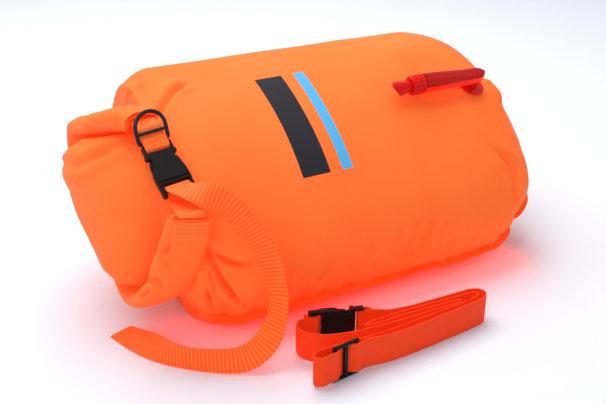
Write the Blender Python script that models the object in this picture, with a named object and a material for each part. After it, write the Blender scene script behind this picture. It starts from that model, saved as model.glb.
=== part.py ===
"""Open water swim buoy: an inflatable two chamber dry bag with a roll closure, its waist belt beside it.

Metres, +Z up, +X from the rolled mouth to the base of the bag. The bag lies rolled over
by ROLL about its length, on its back chamber, so its parts are built in a bag frame
(x along the bag, u across towards the far seam, v out of the front panel) and then
turned into place.
"""

import math

import bmesh
import bpy
import numpy as np
from mathutils import Matrix, Vector

# Bag and how it lies
BAG_HALF_WIDTH = 0.124
BAG_HALF_DEPTH = 0.076
MOUTH_X = -0.166
BASE_X = 0.177
CORNER_RADIUS = 0.080
TAPER_START_X = 0.060
SHOULDER_LENGTH = 0.030
ROLL = math.radians(30.5)
AXIS_Y = 0.046
AXIS_Z = 0.0855
FLANGE = 0.006
POUCH_HALF = 0.0013
POUCH_WALL = 0.0007
CHAMBER_INNER = 0.0016
GAP = 0.0004
SHOULDER_SHARE = 0.12
SHOULDER_WIDTH_SHARE = 0.10
TAPER_POWER = 4
STATION_COUNT = 22
RING_COUNT = 14

# Neck between the chambers and the rolled mouth
NECK_END_X = -0.229
NECK_BACK_END_X = -0.1745
NECK_HALF_WIDTH = 0.103
NECK_TIP_HALF_WIDTH = 0.0713
NECK_TIP_SHIFT = -0.0065
NECK_FRONT = 0.069
NECK_BACK = 0.066
NECK_SHELF = -0.0095
NECK_TRIM_SHARE = 0.14
NECK_BULGE_POWER = 3
NECK_END_SHARE = 0.004
# distances along the neck, as shares of its length
NECK_STATION_SHARES = (0, 0.04, 0.08, 0.11, 0.125, 0.20, 0.35, 0.52, 0.70, 0.84, 0.93, 1.0)
NECK_TRIM_START_SHARE = 0.6
ARM_LINE_V = 0.0795
ARM_LINE_SLOPE = 1.18
ARM_LINE_U = 0.006

# Rolled mouth
ROLL_CORE_WIDTH = 0.025
ROLL_CORE_THICK = 0.0046
STIFFENER_WIDTH = 0.0238
STIFFENER_THICK = 0.0014
ROLL_SPACING = 0.0085
ROLL_SIDES = 12
ROLL_SQUARENESS = 2.8
ROLL_CORE_SQUARENESS = 6.0
ROLL_REACH = 0.100
# x, u and v of the centre line of the roll, its width and its thickness, as shares of ROLL_REACH
ROLL_PATH_SHARES = (
    (-1.835, 0.165, 0.822, 0.300, 0.215),
    (-1.860, 0.255, 0.772, 0.305, 0.218),
    (-1.905, 0.350, 0.672, 0.315, 0.220),
    (-1.960, 0.460, 0.525, 0.330, 0.220),
    (-2.000, 0.630, 0.300, 0.360, 0.205),
    (-2.020, 0.785, 0.080, 0.380, 0.180),
    (-2.000, 0.690, -0.180, 0.400, 0.170),
    (-1.980, 0.300, -0.250, 0.410, 0.165),
    (-1.980, -0.300, -0.250, 0.410, 0.165),
    (-1.990, -0.700, -0.200, 0.400, 0.165),
    (-1.980, -0.900, 0.040, 0.390, 0.170),
    (-1.915, -0.940, 0.340, 0.380, 0.175),
    (-1.840, -0.870, 0.620, 0.370, 0.175),
    (-1.780, -0.770, 0.810, 0.345, 0.170),
)

# Closure webbing, buckle and ring
WEB_WIDTH = 0.020
WEB_THICK = 0.0012
WEB_COLUMNS = 4
BUCKLE_X = -0.180
BUCKLE_U = -0.006
BUCKLE_V = 0.0805
BUCKLE_YAW = math.radians(7.4)
BUCKLE_TILT = math.radians(7.9)
RING_LEAN = math.radians(38)
RING_PIVOT_Y = -0.0027
RING_PIVOT_Z = 0.0006
RING_HALF = 0.0122
RING_ROD = 0.0016
RING_BAR_ROD = 0.0013
RING_BAR_D = 0.0076
RING_STRAIGHT = 0.0110
RING_CORNER = 0.0022

# Side release buckle, along its length from the slot end of the socket
SOCKET_LENGTH = 0.0316
BUCKLE_HALF_THICK = 0.0032
BUCKLE_EDGE = 0.0005
BUCKLE_HALF_WIDTH = 0.0132
SLOT_HALF = 0.0104
CAVITY_HALF_THICK = 0.0018
CAVITY_START = 0.0092
WINDOW_START = 0.0118
WINDOW_END = 0.0242
SLOT_BAR_HALF = 0.0012
SLOT_BAR_LENGTH = 0.0028
SLOT_END = 0.0072
ARM_HALF_THICK = 0.0015
ARM_EDGE = 0.0004
ARM_PIVOT_X = 0.0076
ARM_PIVOT_Y = 0.0308
TONGUE_HALF = 0.0020
TONGUE_HALF_THICK = 0.0012
TONGUE_START = 0.0140
INSERT_START = 0.0320
INSERT_BEAM_END = 0.0346
INSERT_END = 0.0440
LEG_INNER = 0.0105
LEG_HALF_THICK = 0.0025
LADDER_START = 0.0380
LADDER_END = 0.0402
LADDER_HALF = 0.0009
OVERCUT = 0.0010
# half width and distance from the slot end, as shares of BUCKLE_HALF_WIDTH
SOCKET_EDGE_SHARES = (
    (0.88, 0.00),
    (0.88, 0.56),
    (0.95, 0.62),
    (0.94, 0.80),
    (0.73, 0.87),
    (0.70, 1.00),
    (0.76, 1.26),
    (0.90, 1.58),
    (0.98, 1.90),
    (1.00, 2.394),
)
ARM_EDGE_SHARES = (
    (0.47, 2.36),
    (0.67, 2.36),
    (0.72, 1.90),
    (0.72, 1.795),
    (0.94, 1.770),
    (0.95, 1.44),
    (0.88, 1.10),
    (0.68, 0.95),
    (0.52, 0.96),
    (0.49, 1.22),
    (0.51, 1.82),
)

# Anchor webbing: y and z of its centre line as shares of ANCHOR_REACH, in the ring's own frame
ANCHOR_REACH = 0.010
ANCHOR_SPACING = 0.0012
ANCHOR_UPPER_SHARES = (
    (-1.07, -0.400),
    (-0.76, -0.240),
    (-0.62, -0.200),
    (-0.13, 0.218),
    (0.00, 0.268),
)
ANCHOR_LOWER_SHARES = (
    (0.16, -0.280),
    (-0.56, -0.370),
    (-0.89, -0.560),
)
# the turn round the bar of the socket, in the buckle's frame
ANCHOR_TURN_SHARES = (
    (0.04, 0.250),
    (0.28, 0.225),
    (0.44, 0.150),
    (0.495, 0.000),
    (0.44, -0.150),
    (0.28, -0.225),
    (0.00, -0.235),
)

# Loose tail of the closure webbing: centre line and edge direction in the room, as shares of TAIL_REACH
TAIL_REACH = 0.100
TAIL_SPACING = 0.0042
# the turn of the webbing round the insert bar, in the buckle's frame, as shares of ANCHOR_REACH
STRAP_TURN_SHARES = (
    (4.60, -0.300),
    (4.25, -0.215),
    (4.02, -0.200),
    (3.80, -0.195),
    (3.665, -0.135),
    (3.61, 0.000),
    (3.665, 0.135),
    (3.80, 0.195),
    (4.05, 0.351),
)
TAIL_PATH_SHARES = (
    ((-1.708, -0.430, 1.303), (0.99, 0.03, 0.16)),
    ((-1.628, -0.529, 1.290), (0.90, -0.17, 0.39)),
    ((-1.535, -0.610, 1.251), (0.73, -0.36, 0.58)),
    ((-1.46, -0.675, 1.18), (0.64, -0.42, 0.64)),
    ((-1.36, -0.745, 1.04), (0.59, -0.52, 0.62)),
    ((-1.285, -0.815, 0.88), (0.56, -0.69, 0.46)),
    ((-1.25, -0.88, 0.70), (0.46, -0.83, 0.31)),
    ((-1.25, -0.945, 0.52), (0.32, -0.93, 0.00)),
    ((-1.30, -0.98, 0.34), (0.15, -0.92, -0.36)),
    ((-1.42, -1.01, 0.20), (0.05, -0.70, -0.71)),
    ((-1.57, -0.99, 0.125), (0.00, -0.35, -0.94)),
    ((-1.79, -0.87, 0.106), (0.00, -0.08, -1.00)),
    ((-1.97, -0.71, 0.106), (-0.05, -0.02, -1.00)),
    ((-2.08, -0.50, 0.088), (-0.50, -0.25, -0.83)),
    ((-2.16, -0.26, 0.042), (-0.84, -0.38, -0.38)),
    ((-2.22, -0.05, 0.010), (-0.90, -0.43, -0.02)),
)

# Oral valves, one on each chamber
VALVE_X = 0.118
VALVE_FLANGE_RADIUS = 0.0130
VALVE_FLANGE_THICK = 0.0008
VALVE_BORE = 0.0030
VALVE_SIDES = 24
STEM_RADIUS = 0.0062
STEM_TOP_V = 0.0807
HOSE_HALF_WIDTH = 0.0066
HOSE_END_X = 0.1262
HOSE_HEAD_X = 0.0620
HOSE_BOTTOM_V = 0.0812
HOSE_DEEP = 0.0103
HOSE_HEAD_WALL = 0.0019
HEAD_RISE = 0.0080
HOSE_BORE = 0.0053
HOSE_SEAT_BORE = 0.0034
HOSE_SEAT_DEPTH = 0.0110
HOSE_BORE_END_X = 0.1200
HOSE_SIDES = 20
HOSE_SQUARENESS = 4.0
HOSE_STEPS = 7
HOSE_TIP_SHARE = 0.12
HOSE_PORT_SHARE = 0.9
HOSE_PIVOT_X = 0.1258
HOSE_PIVOT_V = 0.0818
HEAD_DROOP = math.radians(4)
HEAD_V = HOSE_BOTTOM_V + HEAD_RISE
HOSE_TOP_V = HOSE_BOTTOM_V + HOSE_DEEP
HOSE_HEAD_TOP_V = HEAD_V + HOSE_BORE + HOSE_HEAD_WALL
COLLAR_START = 0.0011
COLLAR_LENGTH = 0.0125
COLLAR_RADIUS = 0.0084
COLLAR_GROOVE = 0.0007
COLLAR_BORE = 0.0054
COLLAR_RIBS = 20
COLLAR_RIM_SHARE = 0.55
MOUTH_TUBE = 0.0048
MOUTH_BORE = 0.0034
MOUTH_START = -0.0009
MOUTH_LIP = 0.0070
MOUTH_LIP_WALL = 0.0014
MOUTH_LENGTH = 0.0275
MOUTH_TILT = math.radians(42)
MOUTH_STATION_SHARES = (0, 0.50, 0.60, 0.70, 0.80, 0.90, 0.97, 1.0)
MOUTH_FLARE_SHARE = 0.52
MOUTH_FLARE_POWER = 1.2
MOUTH_ROUND_SHARE = 0.3
SEAL_RADIUS = 0.0045
SEAL_BORE = 0.0020
SEAL_START = -0.0036
SEAL_THICK = 0.0023
SPRING_START = -0.0105
SPRING_END = -0.0041
SPRING_RADIUS = 0.0041
SPRING_WIRE = 0.0004
SPRING_TURNS = 3
SPRING_STEPS = 12

# Waist belt lying beside the bag
BELT_WIDTH = 0.025
BELT_THICK = 0.0013
BELT_WIDE_SHARE = 1.25
BELT_BUCKLE_Z = 0.0168
BELT_BUCKLE_X = -0.0570
BELT_BUCKLE_Y = -0.1040
BELT_BUCKLE_YAW = math.radians(166)
SLIDER_X = -0.0930
SLIDER_Y = -0.1390
SLIDER_YAW = math.radians(7)
SLIDER_HALF_LENGTH = 0.0115
SLIDER_HALF_HEIGHT = 0.0152
SLIDER_SLOT_HALF = 0.0129
SLIDER_HALF_THICK = 0.0013
SLIDER_RAIL = 0.0026
SLIDER_BAR = 0.0014
SLIDER_EDGE = 0.0005
SLIDER_Z = 0.0156
SLIDER_WEAVE_SHARES = (
    (1.15, -1.02),
    (0.76, -1.02),
    (0.45, 0.0),
    (0.14, 1.02),
    (-0.14, 1.02),
    (-0.45, 0.0),
    (-0.76, -1.02),
    (-1.15, -1.02),
)
BELT_SPACING = 0.0065
BELT_REACH = 0.100
# turns of the webbing round the socket bar and the insert bar, in the buckle's frame, shares of ANCHOR_REACH
BELT_START_SHARES = (
    (-0.90, 0.330),
    (-0.30, 0.250),
    (0.28, 0.225),
    (0.44, 0.150),
    (0.495, 0.000),
    (0.44, -0.150),
    (0.28, -0.225),
    (-0.30, -0.240),
)
BELT_FINISH_SHARES = (
    (4.60, 0.260),
    (4.02, 0.205),
    (3.80, 0.200),
    (3.66, 0.140),
    (3.605, 0.000),
    (3.66, -0.140),
    (3.80, -0.200),
    (4.02, -0.205),
    (4.70, -0.240),
)
# plan of the belt from the slider bar round its folds to the buckle insert, shares of BELT_REACH, with height
BELT_PATH_SHARES = (
    (-0.500, -1.070, 0.164),
    (-0.400, -1.095, 0.140),
    (-0.200, -1.115, 0.128),
    (0.050, -1.125, 0.128),
    (0.280, -1.130, 0.128),
    (0.400, -1.140, 0.128),
    (0.455, -1.175, 0.128),
    (0.465, -1.230, 0.128),
    (0.420, -1.280, 0.128),
    (0.300, -1.305, 0.128),
    (0.050, -1.335, 0.128),
    (-0.250, -1.365, 0.128),
    (-0.550, -1.385, 0.136),
    (-0.740, -1.380, 0.152),
)
BELT_RETURN_SHARES = (
    (-1.150, -1.435, 0.152),
    (-1.190, -1.390, 0.150),
    (-1.150, -1.345, 0.146),
    (-1.060, -1.330, 0.142),
    (-0.900, -1.325, 0.134),
    (-0.550, -1.325, 0.128),
    (-0.200, -1.302, 0.128),
    (0.150, -1.275, 0.128),
    (0.330, -1.255, 0.128),
    (0.405, -1.220, 0.128),
    (0.385, -1.188, 0.128),
    (0.250, -1.175, 0.128),
    (0.000, -1.165, 0.128),
    (-0.300, -1.152, 0.128),
    (-0.560, -1.160, 0.128),
    (-0.640, -1.180, 0.128),
    (-0.560, -1.202, 0.128),
    (-0.300, -1.198, 0.128),
    (0.000, -1.208, 0.128),
    (0.180, -1.218, 0.128),
    (0.225, -1.236, 0.128),
    (0.180, -1.252, 0.128),
    (-0.050, -1.250, 0.128),
    (-0.400, -1.248, 0.128),
    (-0.800, -1.220, 0.134),
    (-1.020, -1.160, 0.146),
    (-1.120, -1.070, 0.158),
    (-1.120, -0.980, 0.164),
    (-1.060, -0.940, 0.168),
)


def shares(table, length):
    return np.array(table, dtype=float) * length


def clear_scene():
    for item in list(bpy.data.objects):
        bpy.data.objects.remove(item, do_unlink=True)


def material(name, colour, roughness, coat, see_through):
    mat = bpy.data.materials.new(name)
    mat.use_nodes = True
    shader = mat.node_tree.nodes["Principled BSDF"]
    shader.inputs["Base Color"].default_value = (colour[0], colour[1], colour[2], 1.0)
    shader.inputs["Roughness"].default_value = roughness
    shader.inputs["Coat Weight"].default_value = coat
    shader.inputs["Transmission Weight"].default_value = see_through
    mat.diffuse_color = (colour[0], colour[1], colour[2], 1.0)
    return mat


def bag_frame():
    return Matrix.Translation((0, AXIS_Y, AXIS_Z)) @ Matrix.Rotation(ROLL, 4, "X")


def buckle_frame():
    """Width along x, length towards the insert along +y, out of the front panel along +z."""
    across = Vector((-math.cos(BUCKLE_YAW), -math.sin(BUCKLE_YAW), 0))
    along = Vector((0, -math.cos(BUCKLE_TILT), -math.sin(BUCKLE_TILT)))
    along = (along - across * along.dot(across)).normalized()
    out = across.cross(along)
    local = Matrix((across, along, out)).transposed().to_4x4()
    local.translation = Vector((BUCKLE_X, BUCKLE_U, BUCKLE_V))
    return bag_frame() @ local


def ring_frame():
    """The ring's own frame: +y from its lower bar towards its bow, +z out."""
    turn = Matrix.Translation((0, RING_PIVOT_Y, RING_PIVOT_Z))
    turn = turn @ Matrix.Rotation(-RING_LEAN, 4, "X")
    return buckle_frame() @ turn


def belt_buckle_frame():
    """Length along the belt, width upright."""
    along = Vector((math.cos(BELT_BUCKLE_YAW), math.sin(BELT_BUCKLE_YAW), 0))
    up = Vector((0, 0, 1))
    local = Matrix((up, along, up.cross(along))).transposed().to_4x4()
    local.translation = Vector((BELT_BUCKLE_X, BELT_BUCKLE_Y, BELT_BUCKLE_Z))
    return local


def head_frame(side):
    """Along the mouthpiece with +z, from the open end of the hose; side is 1 in front and -1 behind."""
    along = Vector((-math.cos(HEAD_DROOP), 0, -side * math.sin(HEAD_DROOP)))
    across = Vector((0, 1, 0))
    up = along.cross(across)
    local = Matrix((across, up, along)).transposed().to_4x4()
    local.translation = Vector((HOSE_HEAD_X, 0, side * HEAD_V))
    return bag_frame() @ local


def build(name, verts, faces, mat, place, pivot=None, floor=False, smooth=40):
    """One closed mesh object; pivot is a point in the same local frame as the vertices."""
    matrix = np.array(place)
    points = np.array(verts, dtype=float) @ matrix[:3, :3].T + matrix[:3, 3]
    if floor:
        points[:, 2] = np.maximum(points[:, 2], 0)
    origin = place @ Vector(pivot) if pivot is not None else Vector((0, 0, 0))
    mesh = bpy.data.meshes.new(name)
    mesh.from_pydata((points - np.array(origin)).tolist(), [], faces)
    mesh.validate()
    tidy = bmesh.new()
    tidy.from_mesh(mesh)
    bmesh.ops.recalc_face_normals(tidy, faces=tidy.faces)
    tidy.to_mesh(mesh)
    tidy.free()
    mesh.materials.append(mat)
    thing = bpy.data.objects.new(name, mesh)
    thing.location = origin
    bpy.context.scene.collection.objects.link(thing)
    shade(mesh, smooth)
    return thing


def shade(mesh, angle):
    mesh.shade_smooth()
    mesh.set_sharp_from_angle(angle=math.radians(angle))


def settle(thing, place, pivot=(0, 0, 0)):
    """Moves a piece finished in its own frame to its place, its origin on the pivot."""
    thing.data.transform(place)
    origin = place @ Vector(pivot)
    thing.data.transform(Matrix.Translation(-origin))
    thing.location = origin
    return thing


def combine(target, other, operation):
    """Boolean of two objects, kept in the first one."""
    step = target.modifiers.new("combine", "BOOLEAN")
    step.operation = operation
    step.solver = "EXACT"
    step.object = other
    bpy.context.view_layer.update()
    depsgraph = bpy.context.evaluated_depsgraph_get()
    result = bpy.data.meshes.new_from_object(target.evaluated_get(depsgraph))
    target.modifiers.clear()
    old = target.data
    target.data = result
    bpy.data.meshes.remove(old)
    bpy.data.objects.remove(other, do_unlink=True)
    shade(target.data, 40)
    return target


def ring_faces(rings, count, closed_path=False):
    faces = []
    last = rings if closed_path else rings - 1
    for i in range(last):
        j = (i + 1) % rings
        for k in range(count):
            m = (k + 1) % count
            faces.append((i * count + k, i * count + m, j * count + m, j * count + k))
    return faces


def loft(rings):
    """Closed solid through rings of equal count, capped at both ends."""
    count = len(rings[0])
    faces = ring_faces(len(rings), count)
    faces.append(tuple(range(count)))
    faces.append(tuple((len(rings) - 1) * count + k for k in range(count)))
    return np.concatenate(rings), faces


def cup(outer, inner):
    """Closed shell: outer and inner lofts joined round their first rings, each capped at its far end."""
    count = len(outer[0])
    base = len(outer) * count
    faces = ring_faces(len(outer), count)
    faces += [tuple(base + n for n in f) for f in ring_faces(len(inner), count)]
    faces.append(tuple((len(outer) - 1) * count + k for k in range(count)))
    faces.append(tuple(base + (len(inner) - 1) * count + k for k in range(count)))
    for k in range(count):
        m = (k + 1) % count
        faces.append((k, m, base + m, base + k))
    return np.concatenate([np.concatenate(outer), np.concatenate(inner)]), faces


def sleeve(outer, inner):
    """Closed tube wall: outer and inner lofts joined round both ends."""
    count = len(outer[0])
    base = len(outer) * count
    faces = ring_faces(len(outer), count)
    faces += [tuple(base + n for n in f) for f in ring_faces(len(inner), count)]
    tail = (len(outer) - 1) * count
    inner_tail = base + (len(inner) - 1) * count
    for k in range(count):
        m = (k + 1) % count
        faces.append((k, m, base + m, base + k))
        faces.append((tail + k, tail + m, inner_tail + m, inner_tail + k))
    return np.concatenate([np.concatenate(outer), np.concatenate(inner)]), faces


def curve(points, spacing):
    """Smooth curve through the points, knots set by the square root of their distances.

    Columns after the third ride along with the first three.
    """
    pts = np.array(points, dtype=float)
    pts = np.vstack([2 * pts[0] - pts[1], pts, 2 * pts[-1] - pts[-2]])
    gaps = np.sqrt(np.linalg.norm(np.diff(pts[:, :3], axis=0), axis=1))
    knots = np.concatenate([[0], np.cumsum(gaps)])
    out = []
    for i in range(1, len(pts) - 2):
        steps = max(1, int(math.ceil(gaps[i] ** 2 / spacing)))
        for k in range(steps):
            t = knots[i] + (knots[i + 1] - knots[i]) * k / steps
            out.append(blend_knots(pts[i - 1 : i + 3], knots[i - 1 : i + 3], t))
    out.append(pts[-2])
    return np.array(out)


def blend_knots(p, k, t):
    a = mix(p[0], p[1], (t - k[0]) / (k[1] - k[0]))
    b = mix(p[1], p[2], (t - k[1]) / (k[2] - k[1]))
    c = mix(p[2], p[3], (t - k[2]) / (k[3] - k[2]))
    d = mix(a, b, (t - k[0]) / (k[2] - k[0]))
    e = mix(b, c, (t - k[1]) / (k[3] - k[1]))
    return mix(d, e, (t - k[1]) / (k[2] - k[1]))


def mix(a, b, t):
    return a * (1 - t) + b * t


def sweep_rings(path, edge, profile, closed_path=False):
    """Rings of the profile (across, through) set square to the path; edge is the direction of across."""
    path = np.array(path, dtype=float)
    edge = np.array(edge, dtype=float)
    rings = []
    for i in range(len(path)):
        if closed_path:
            ahead = path[(i + 1) % len(path)] - path[i - 1]
        else:
            ahead = path[min(i + 1, len(path) - 1)] - path[max(i - 1, 0)]
        ahead = ahead / np.linalg.norm(ahead)
        across = edge[i] - ahead * (edge[i] @ ahead)
        across = across / np.linalg.norm(across)
        through = np.cross(ahead, across)
        rings.append(np.array([path[i] + across * a + through * b for a, b in profile]))
    return rings


def strip_profile(width, thick, columns):
    """Flat section of a webbing, its faces divided into columns where it twists."""
    across = [width * (k / columns - 0.5) for k in range(columns + 1)]
    return [(a, -thick / 2) for a in across] + [(a, thick / 2) for a in across[::-1]]


def round_profile(half_a, half_b, count, power=2.0):
    out = []
    for k in range(count):
        angle = 2 * math.pi * (k + 0.5) / count
        c = math.cos(angle)
        s = math.sin(angle)
        a = half_a * math.copysign(abs(c) ** (2 / power), c)
        b = half_b * math.copysign(abs(s) ** (2 / power), s)
        out.append((a, b))
    return out


def inset(poly, amount):
    """Polygon moved inwards by the amount."""
    pts = np.array(poly, dtype=float)
    area = np.sum(pts[:, 0] * np.roll(pts[:, 1], -1) - np.roll(pts[:, 0], -1) * pts[:, 1])
    sign = 1 if area > 0 else -1
    out = []
    for i in range(len(pts)):
        before = pts[i] - pts[i - 1]
        after = pts[(i + 1) % len(pts)] - pts[i]
        before = before / np.linalg.norm(before)
        after = after / np.linalg.norm(after)
        n1 = np.array([-before[1], before[0]]) * sign
        n2 = np.array([-after[1], after[0]]) * sign
        mean = n1 + n2
        mean = mean / max(mean @ n1, 0.5)
        out.append(pts[i] + mean * amount)
    return np.array(out)


def slab(poly, half, edge):
    """Flat piece of the polygon's outline with softened rims."""
    small = inset(poly, edge)
    big = np.array(poly, dtype=float)
    rings = []
    for outline, z in ((small, -half), (big, edge - half), (big, half - edge), (small, half)):
        rings.append(np.column_stack([outline, np.full(len(outline), z)]))
    return loft(rings)


def block(x0, x1, y0, y1, z0, z1):
    rings = []
    for z in (z0, z1):
        rings.append(np.array([(x0, y0, z), (x1, y0, z), (x1, y1, z), (x0, y1, z)]))
    return loft(rings)


def turned_rings(profile, count):
    """Rings round the z axis for (radius, z) pairs."""
    rings = []
    for radius, z in profile:
        turn = [2 * math.pi * k / count for k in range(count)]
        rings.append(np.array([(radius * math.cos(t), radius * math.sin(t), z) for t in turn]))
    return rings


def bag_half_width(x):
    start = BASE_X - CORNER_RADIUS
    width = BAG_HALF_WIDTH
    if x > start:
        width = BAG_HALF_WIDTH - CORNER_RADIUS + math.sqrt(max(CORNER_RADIUS**2 - (x - start) ** 2, 0))
    if x < MOUTH_X + SHOULDER_LENGTH:
        t = (MOUTH_X + SHOULDER_LENGTH - x) / SHOULDER_LENGTH
        width = width * (1 - SHOULDER_WIDTH_SHARE * t * t)
    return width


def bag_half_depth(x):
    depth = BAG_HALF_DEPTH
    if x > TAPER_START_X:
        t = (x - TAPER_START_X) / (BASE_X - TAPER_START_X)
        depth = depth * math.sqrt(max(1 - t**TAPER_POWER, 0))
    if x < MOUTH_X + SHOULDER_LENGTH:
        t = (MOUTH_X + SHOULDER_LENGTH - x) / SHOULDER_LENGTH
        depth = depth * (1 - SHOULDER_SHARE * t * t)
    return max(depth, GAP * 4)


def bag_stations():
    """Distances along the bag, closer together towards the ends."""
    turn = np.linspace(0, math.pi, STATION_COUNT)
    return (MOUTH_X + BASE_X) / 2 - (BASE_X - MOUTH_X) / 2 * np.cos(turn)


def chamber(name, side, mat):
    rings = []
    for x in bag_stations():
        width = bag_half_width(x)
        depth = bag_half_depth(x)
        ring = []
        for k in range(RING_COUNT * 2 + 1):
            t = math.pi * k / (RING_COUNT * 2)
            ring.append((x, width * math.cos(t), side * (CHAMBER_INNER + depth * math.sin(t))))
        for k in range(1, RING_COUNT):
            ring.append((x, width * (2 * k / RING_COUNT - 1), side * CHAMBER_INNER))
        rings.append(np.array(ring))
    verts, faces = loft(rings)
    return build(name, verts, faces, mat, bag_frame(), floor=side < 0, smooth=60)


def dry_pouch(mat):
    outer = []
    inner = []
    stations = list(bag_stations())
    for x in stations:
        width = bag_half_width(x) + FLANGE
        shift = FLANGE * (x - MOUTH_X) / (BASE_X - MOUTH_X)
        outer.append(pouch_ring(x + shift, width, POUCH_HALF))
    for x in stations[:-2]:
        inner.append(pouch_ring(x, bag_half_width(x) - FLANGE, POUCH_HALF - POUCH_WALL))
    verts, faces = cup(outer, inner)
    return build("dry_pouch", verts, faces, mat, bag_frame())


def pouch_ring(x, width, half):
    return np.array([(x, -width, -half), (x, width, -half), (x, width, half), (x, -width, half)])


def neck(mat):
    """Soft bulge of the bag between the chambers and the rolled mouth."""
    start = MOUTH_X - GAP * 2
    length = start - NECK_END_X
    back = start - NECK_BACK_END_X
    rings = []
    for t in NECK_STATION_SHARES:
        x = start - length * t
        ease = min((start - x) / back, 1)
        width = NECK_HALF_WIDTH + (NECK_TIP_HALF_WIDTH - NECK_HALF_WIDTH) * ease**2 * (3 - 2 * ease)
        trim = max(t - NECK_TRIM_START_SHARE, 0) / (1 - NECK_TRIM_START_SHARE)
        width = width * (1 - NECK_TRIM_SHARE * trim**2)
        front = NECK_FRONT * math.sqrt(max(1 - t**NECK_BULGE_POWER, NECK_END_SHARE))
        low = -NECK_BACK * math.sqrt(max(1 - ease**2, 0))
        low = min(low, NECK_SHELF * (1 - t / 2))
        rings.append(np.array(neck_ring(x, width, front, low, ease)))
    verts, faces = loft(rings)
    return build("neck", verts, faces, mat, bag_frame(), floor=True, smooth=60)


def neck_ring(x, width, front, low, ease):
    ring = []
    count = RING_COUNT
    for k in range(count * 2):
        angle = math.pi * k / count
        u = width * math.cos(angle) + NECK_TIP_SHIFT * ease
        if k <= count:
            v = front * math.sin(angle)
            ceiling = ARM_LINE_V - (u - ARM_LINE_U) * ARM_LINE_SLOPE
            ceiling = ceiling + (1 - ease) * BAG_HALF_DEPTH
            v = min(v, max(ceiling, 0))
        else:
            v = -low * math.sin(angle)
        ring.append((x, u, v))
    return ring


def roll_line():
    """Centre line of the roll, with its width and its thickness carried along."""
    return curve(shares(ROLL_PATH_SHARES, ROLL_REACH), ROLL_SPACING)


def roll_path():
    return roll_line()[:, :3]


def roll_edges(path):
    """The flat of the roll keeps its width along the bag."""
    return np.tile(np.array([1.0, 0, 0]), (len(path), 1))


def roll_top(mat):
    path = roll_path()
    edges = roll_edges(path)
    outer = []
    for i, (width, thick) in enumerate(roll_line()[:, 3:]):
        section = round_profile(width / 2, thick / 2, ROLL_SIDES, ROLL_SQUARENESS)
        outer.append(sweep_rings(path, edges, section)[i])
    section = round_profile(ROLL_CORE_WIDTH / 2, ROLL_CORE_THICK / 2, ROLL_SIDES, ROLL_CORE_SQUARENESS)
    inner = sweep_rings(path, edges, section)
    verts, faces = sleeve(outer, inner)
    return build("roll_top", verts, faces, mat, bag_frame(), floor=True, smooth=60)


def mouth_stiffener(mat):
    path = roll_path()[3:-3]
    rings = sweep_rings(path, roll_edges(path), strip_profile(STIFFENER_WIDTH, STIFFENER_THICK, 1))
    verts, faces = loft(rings)
    return build("mouth_stiffener", verts, faces, mat, bag_frame())


def mirrored(half_outline):
    left = [(-a, b) for a, b in half_outline]
    return list(half_outline) + left[::-1]


def cut_box(target, wide, x0, x1, y0, y1, z0, z1):
    verts, faces = block(x0 * wide, x1 * wide, y0, y1, z0, z1)
    tool = build("tool", verts, faces, target.data.materials[0], Matrix.Identity(4))
    return combine(target, tool, "DIFFERENCE")


def join_box(target, wide, x0, x1, y0, y1, z0, z1):
    verts, faces = block(x0 * wide, x1 * wide, y0, y1, z0, z1)
    tool = build("tool", verts, faces, target.data.materials[0], Matrix.Identity(4))
    return combine(target, tool, "UNION")


def buckle_socket(name, place, wide, mat):
    """Flat housing with a webbing slot at one end, a mouth at the other and a finger window on each side."""
    half = shares(SOCKET_EDGE_SHARES, BUCKLE_HALF_WIDTH) * np.array([wide, 1])
    verts, faces = slab(mirrored([tuple(p) for p in half]), BUCKLE_HALF_THICK, BUCKLE_EDGE)
    body = build(name, verts, faces, mat, Matrix.Identity(4))
    reach = BUCKLE_HALF_WIDTH + OVERCUT
    deep = BUCKLE_HALF_THICK + OVERCUT
    past = SOCKET_LENGTH + OVERCUT
    step = SLOT_BAR_LENGTH + OVERCUT
    inside = SLOT_HALF - GAP
    body = cut_box(body, wide, -inside, inside, CAVITY_START, past, -CAVITY_HALF_THICK, CAVITY_HALF_THICK)
    body = cut_box(body, wide, -reach, reach, WINDOW_START, WINDOW_END, -CAVITY_HALF_THICK, CAVITY_HALF_THICK)
    body = cut_box(body, wide, -SLOT_HALF, SLOT_HALF, SLOT_BAR_LENGTH, SLOT_END, -deep, deep)
    body = cut_box(body, wide, -SLOT_HALF, SLOT_HALF, -OVERCUT, step, SLOT_BAR_HALF, deep)
    body = cut_box(body, wide, -SLOT_HALF, SLOT_HALF, -OVERCUT, step, -deep, -SLOT_BAR_HALF)
    return settle(body, place)


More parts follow.
